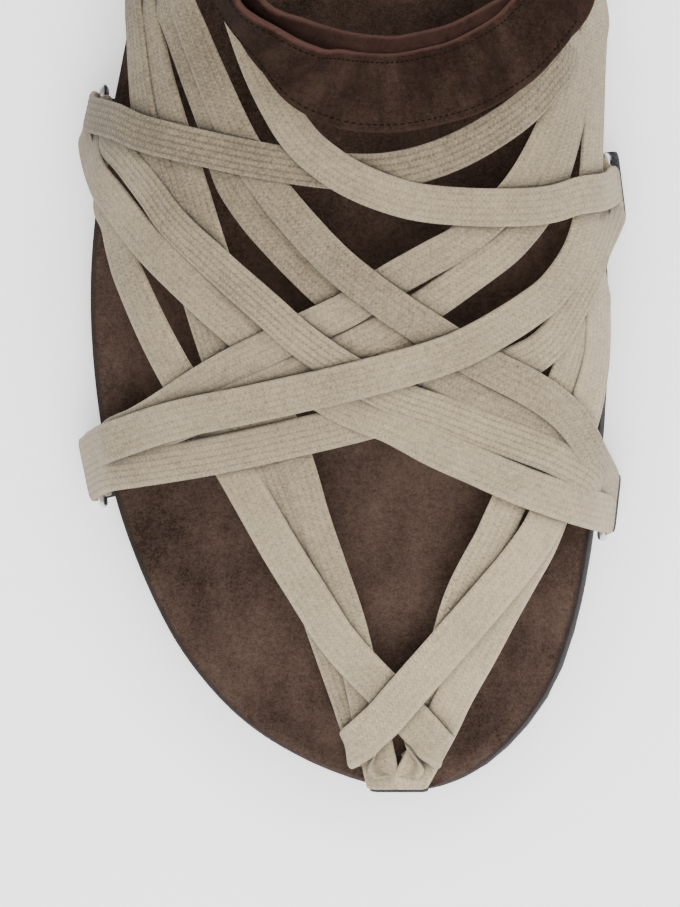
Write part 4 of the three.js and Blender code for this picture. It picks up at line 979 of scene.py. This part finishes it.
class SANDAL_OT_stage(bpy.types.Operator):
    """Stage: a pale floor, soft lights and the camera at the photograph's angle"""

    bl_idname = "sandal.stage"
    bl_label = "Stage"

    def execute(self, context):
        colours = context.scene.sandal_colours
        floor_mesh = bpy.data.meshes.new("floor")
        s = 3.0
        floor_mesh.from_pydata([(-s, -s, 0), (s, -s, 0), (s, s, 0), (-s, s, 0)], [], [(0, 1, 2, 3)])
        floor = bpy.data.objects.new("floor", floor_mesh)
        context.scene.collection.objects.link(floor)
        ground = Shader("floor")
        # Painted shadow: the floor's even glow is dimmed by the occlusion mask near the sandal, a painted
        # contact shadow round the sole.
        glow = ground.math("MULTIPLY_ADD", ground.painted_shade_mask(22.0, 0.1, 1.0), 0.8, 0.25)
        floor_mesh.materials.append(ground.done(Base_Color=(*rgb(colours.floor), 1), Roughness=0.9,
                                                Emission_Color=(1, 1, 1, 1), Emission_Strength=glow))
        lamps = (("key", (0.14, -0.42, 1.3), (0.03, -0.17, 0), 0.5, 1.15, 34),
                 ("fill", (0.6, 0.5, 1.5), (0, 0, 0), 1.4, 10.0, 180))
        for name, at, to, size, power, spread in lamps:
            lamp = bpy.data.lights.new(name, "AREA")
            lamp.energy, lamp.size, lamp.spread = power, size, math.radians(spread)
            holder = bpy.data.objects.new(name, lamp)
            holder.location = at
            holder.rotation_euler = (Vector(to) - Vector(at)).to_track_quat("-Z", "Y").to_euler()
            context.scene.collection.objects.link(holder)
        world = bpy.data.worlds.new("studio")
        world.use_nodes = True
        sky = world.node_tree.nodes["Background"].inputs
        sky[0].default_value, sky[1].default_value = (1, 1, 1, 1), 0.75
        context.scene.world = world
        eye = (EYE + SHIFT) * MM
        look = (AIM + SHIFT) * MM - eye
        reach = float(np.linalg.norm(look))
        look /= reach
        right = unit(np.cross(look, [0, 1.0, 0]))
        above = np.cross(right, look)
        data = bpy.data.cameras.new("camera")
        data.sensor_fit = "VERTICAL"
        data.angle = 2 * math.atan(VIEW_HEIGHT * MM / 2 / reach)
        data.clip_start, data.clip_end = 0.05, 10
        camera = bpy.data.objects.new("camera", data)
        camera.matrix_world = Matrix((*np.stack([right, above, -look, eye], 1).tolist(), (0, 0, 0, 1)))
        context.scene.collection.objects.link(camera)
        context.scene.camera = camera
        return {"FINISHED"}


class SANDAL_PT_panel(bpy.types.Panel):
    """The sandal's sizes, colours and build buttons"""

    bl_label = "Sandal"
    bl_idname = "SANDAL_PT_panel"
    bl_space_type = "VIEW_3D"
    bl_region_type = "UI"
    bl_category = "Sandal"

    def draw(self, context):
        for group in (context.scene.sandal_sizes, context.scene.sandal_colours):
            for key in group.bl_rna.properties.keys():
                if key not in ("rna_type", "name"):
                    self.layout.prop(group, key)
        for operator in OPERATORS:
            self.layout.operator(operator.bl_idname)


OPERATORS = (SANDAL_OT_laces, SANDAL_OT_footbed, SANDAL_OT_sole, SANDAL_OT_straps, SANDAL_OT_rings,
             SANDAL_OT_stage)
CLASSES = (SandalSizes, SandalColours, *OPERATORS, SANDAL_PT_panel)


def register():
    for item in CLASSES:
        bpy.utils.register_class(item)
    bpy.types.Scene.sandal_sizes = bpy.props.PointerProperty(type=SandalSizes)
    bpy.types.Scene.sandal_colours = bpy.props.PointerProperty(type=SandalColours)


def unregister():
    del bpy.types.Scene.sandal_colours
    del bpy.types.Scene.sandal_sizes
    for item in reversed(CLASSES):
        bpy.utils.unregister_class(item)


def main():
    """Registers the add-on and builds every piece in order."""
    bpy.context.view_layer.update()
    register()
    bpy.ops.sandal.laces()
    bpy.ops.sandal.footbed()
    bpy.ops.sandal.sole()
    bpy.ops.sandal.straps()
    bpy.ops.sandal.rings()
    bpy.ops.sandal.stage()


if __name__ == "__main__":
    main()
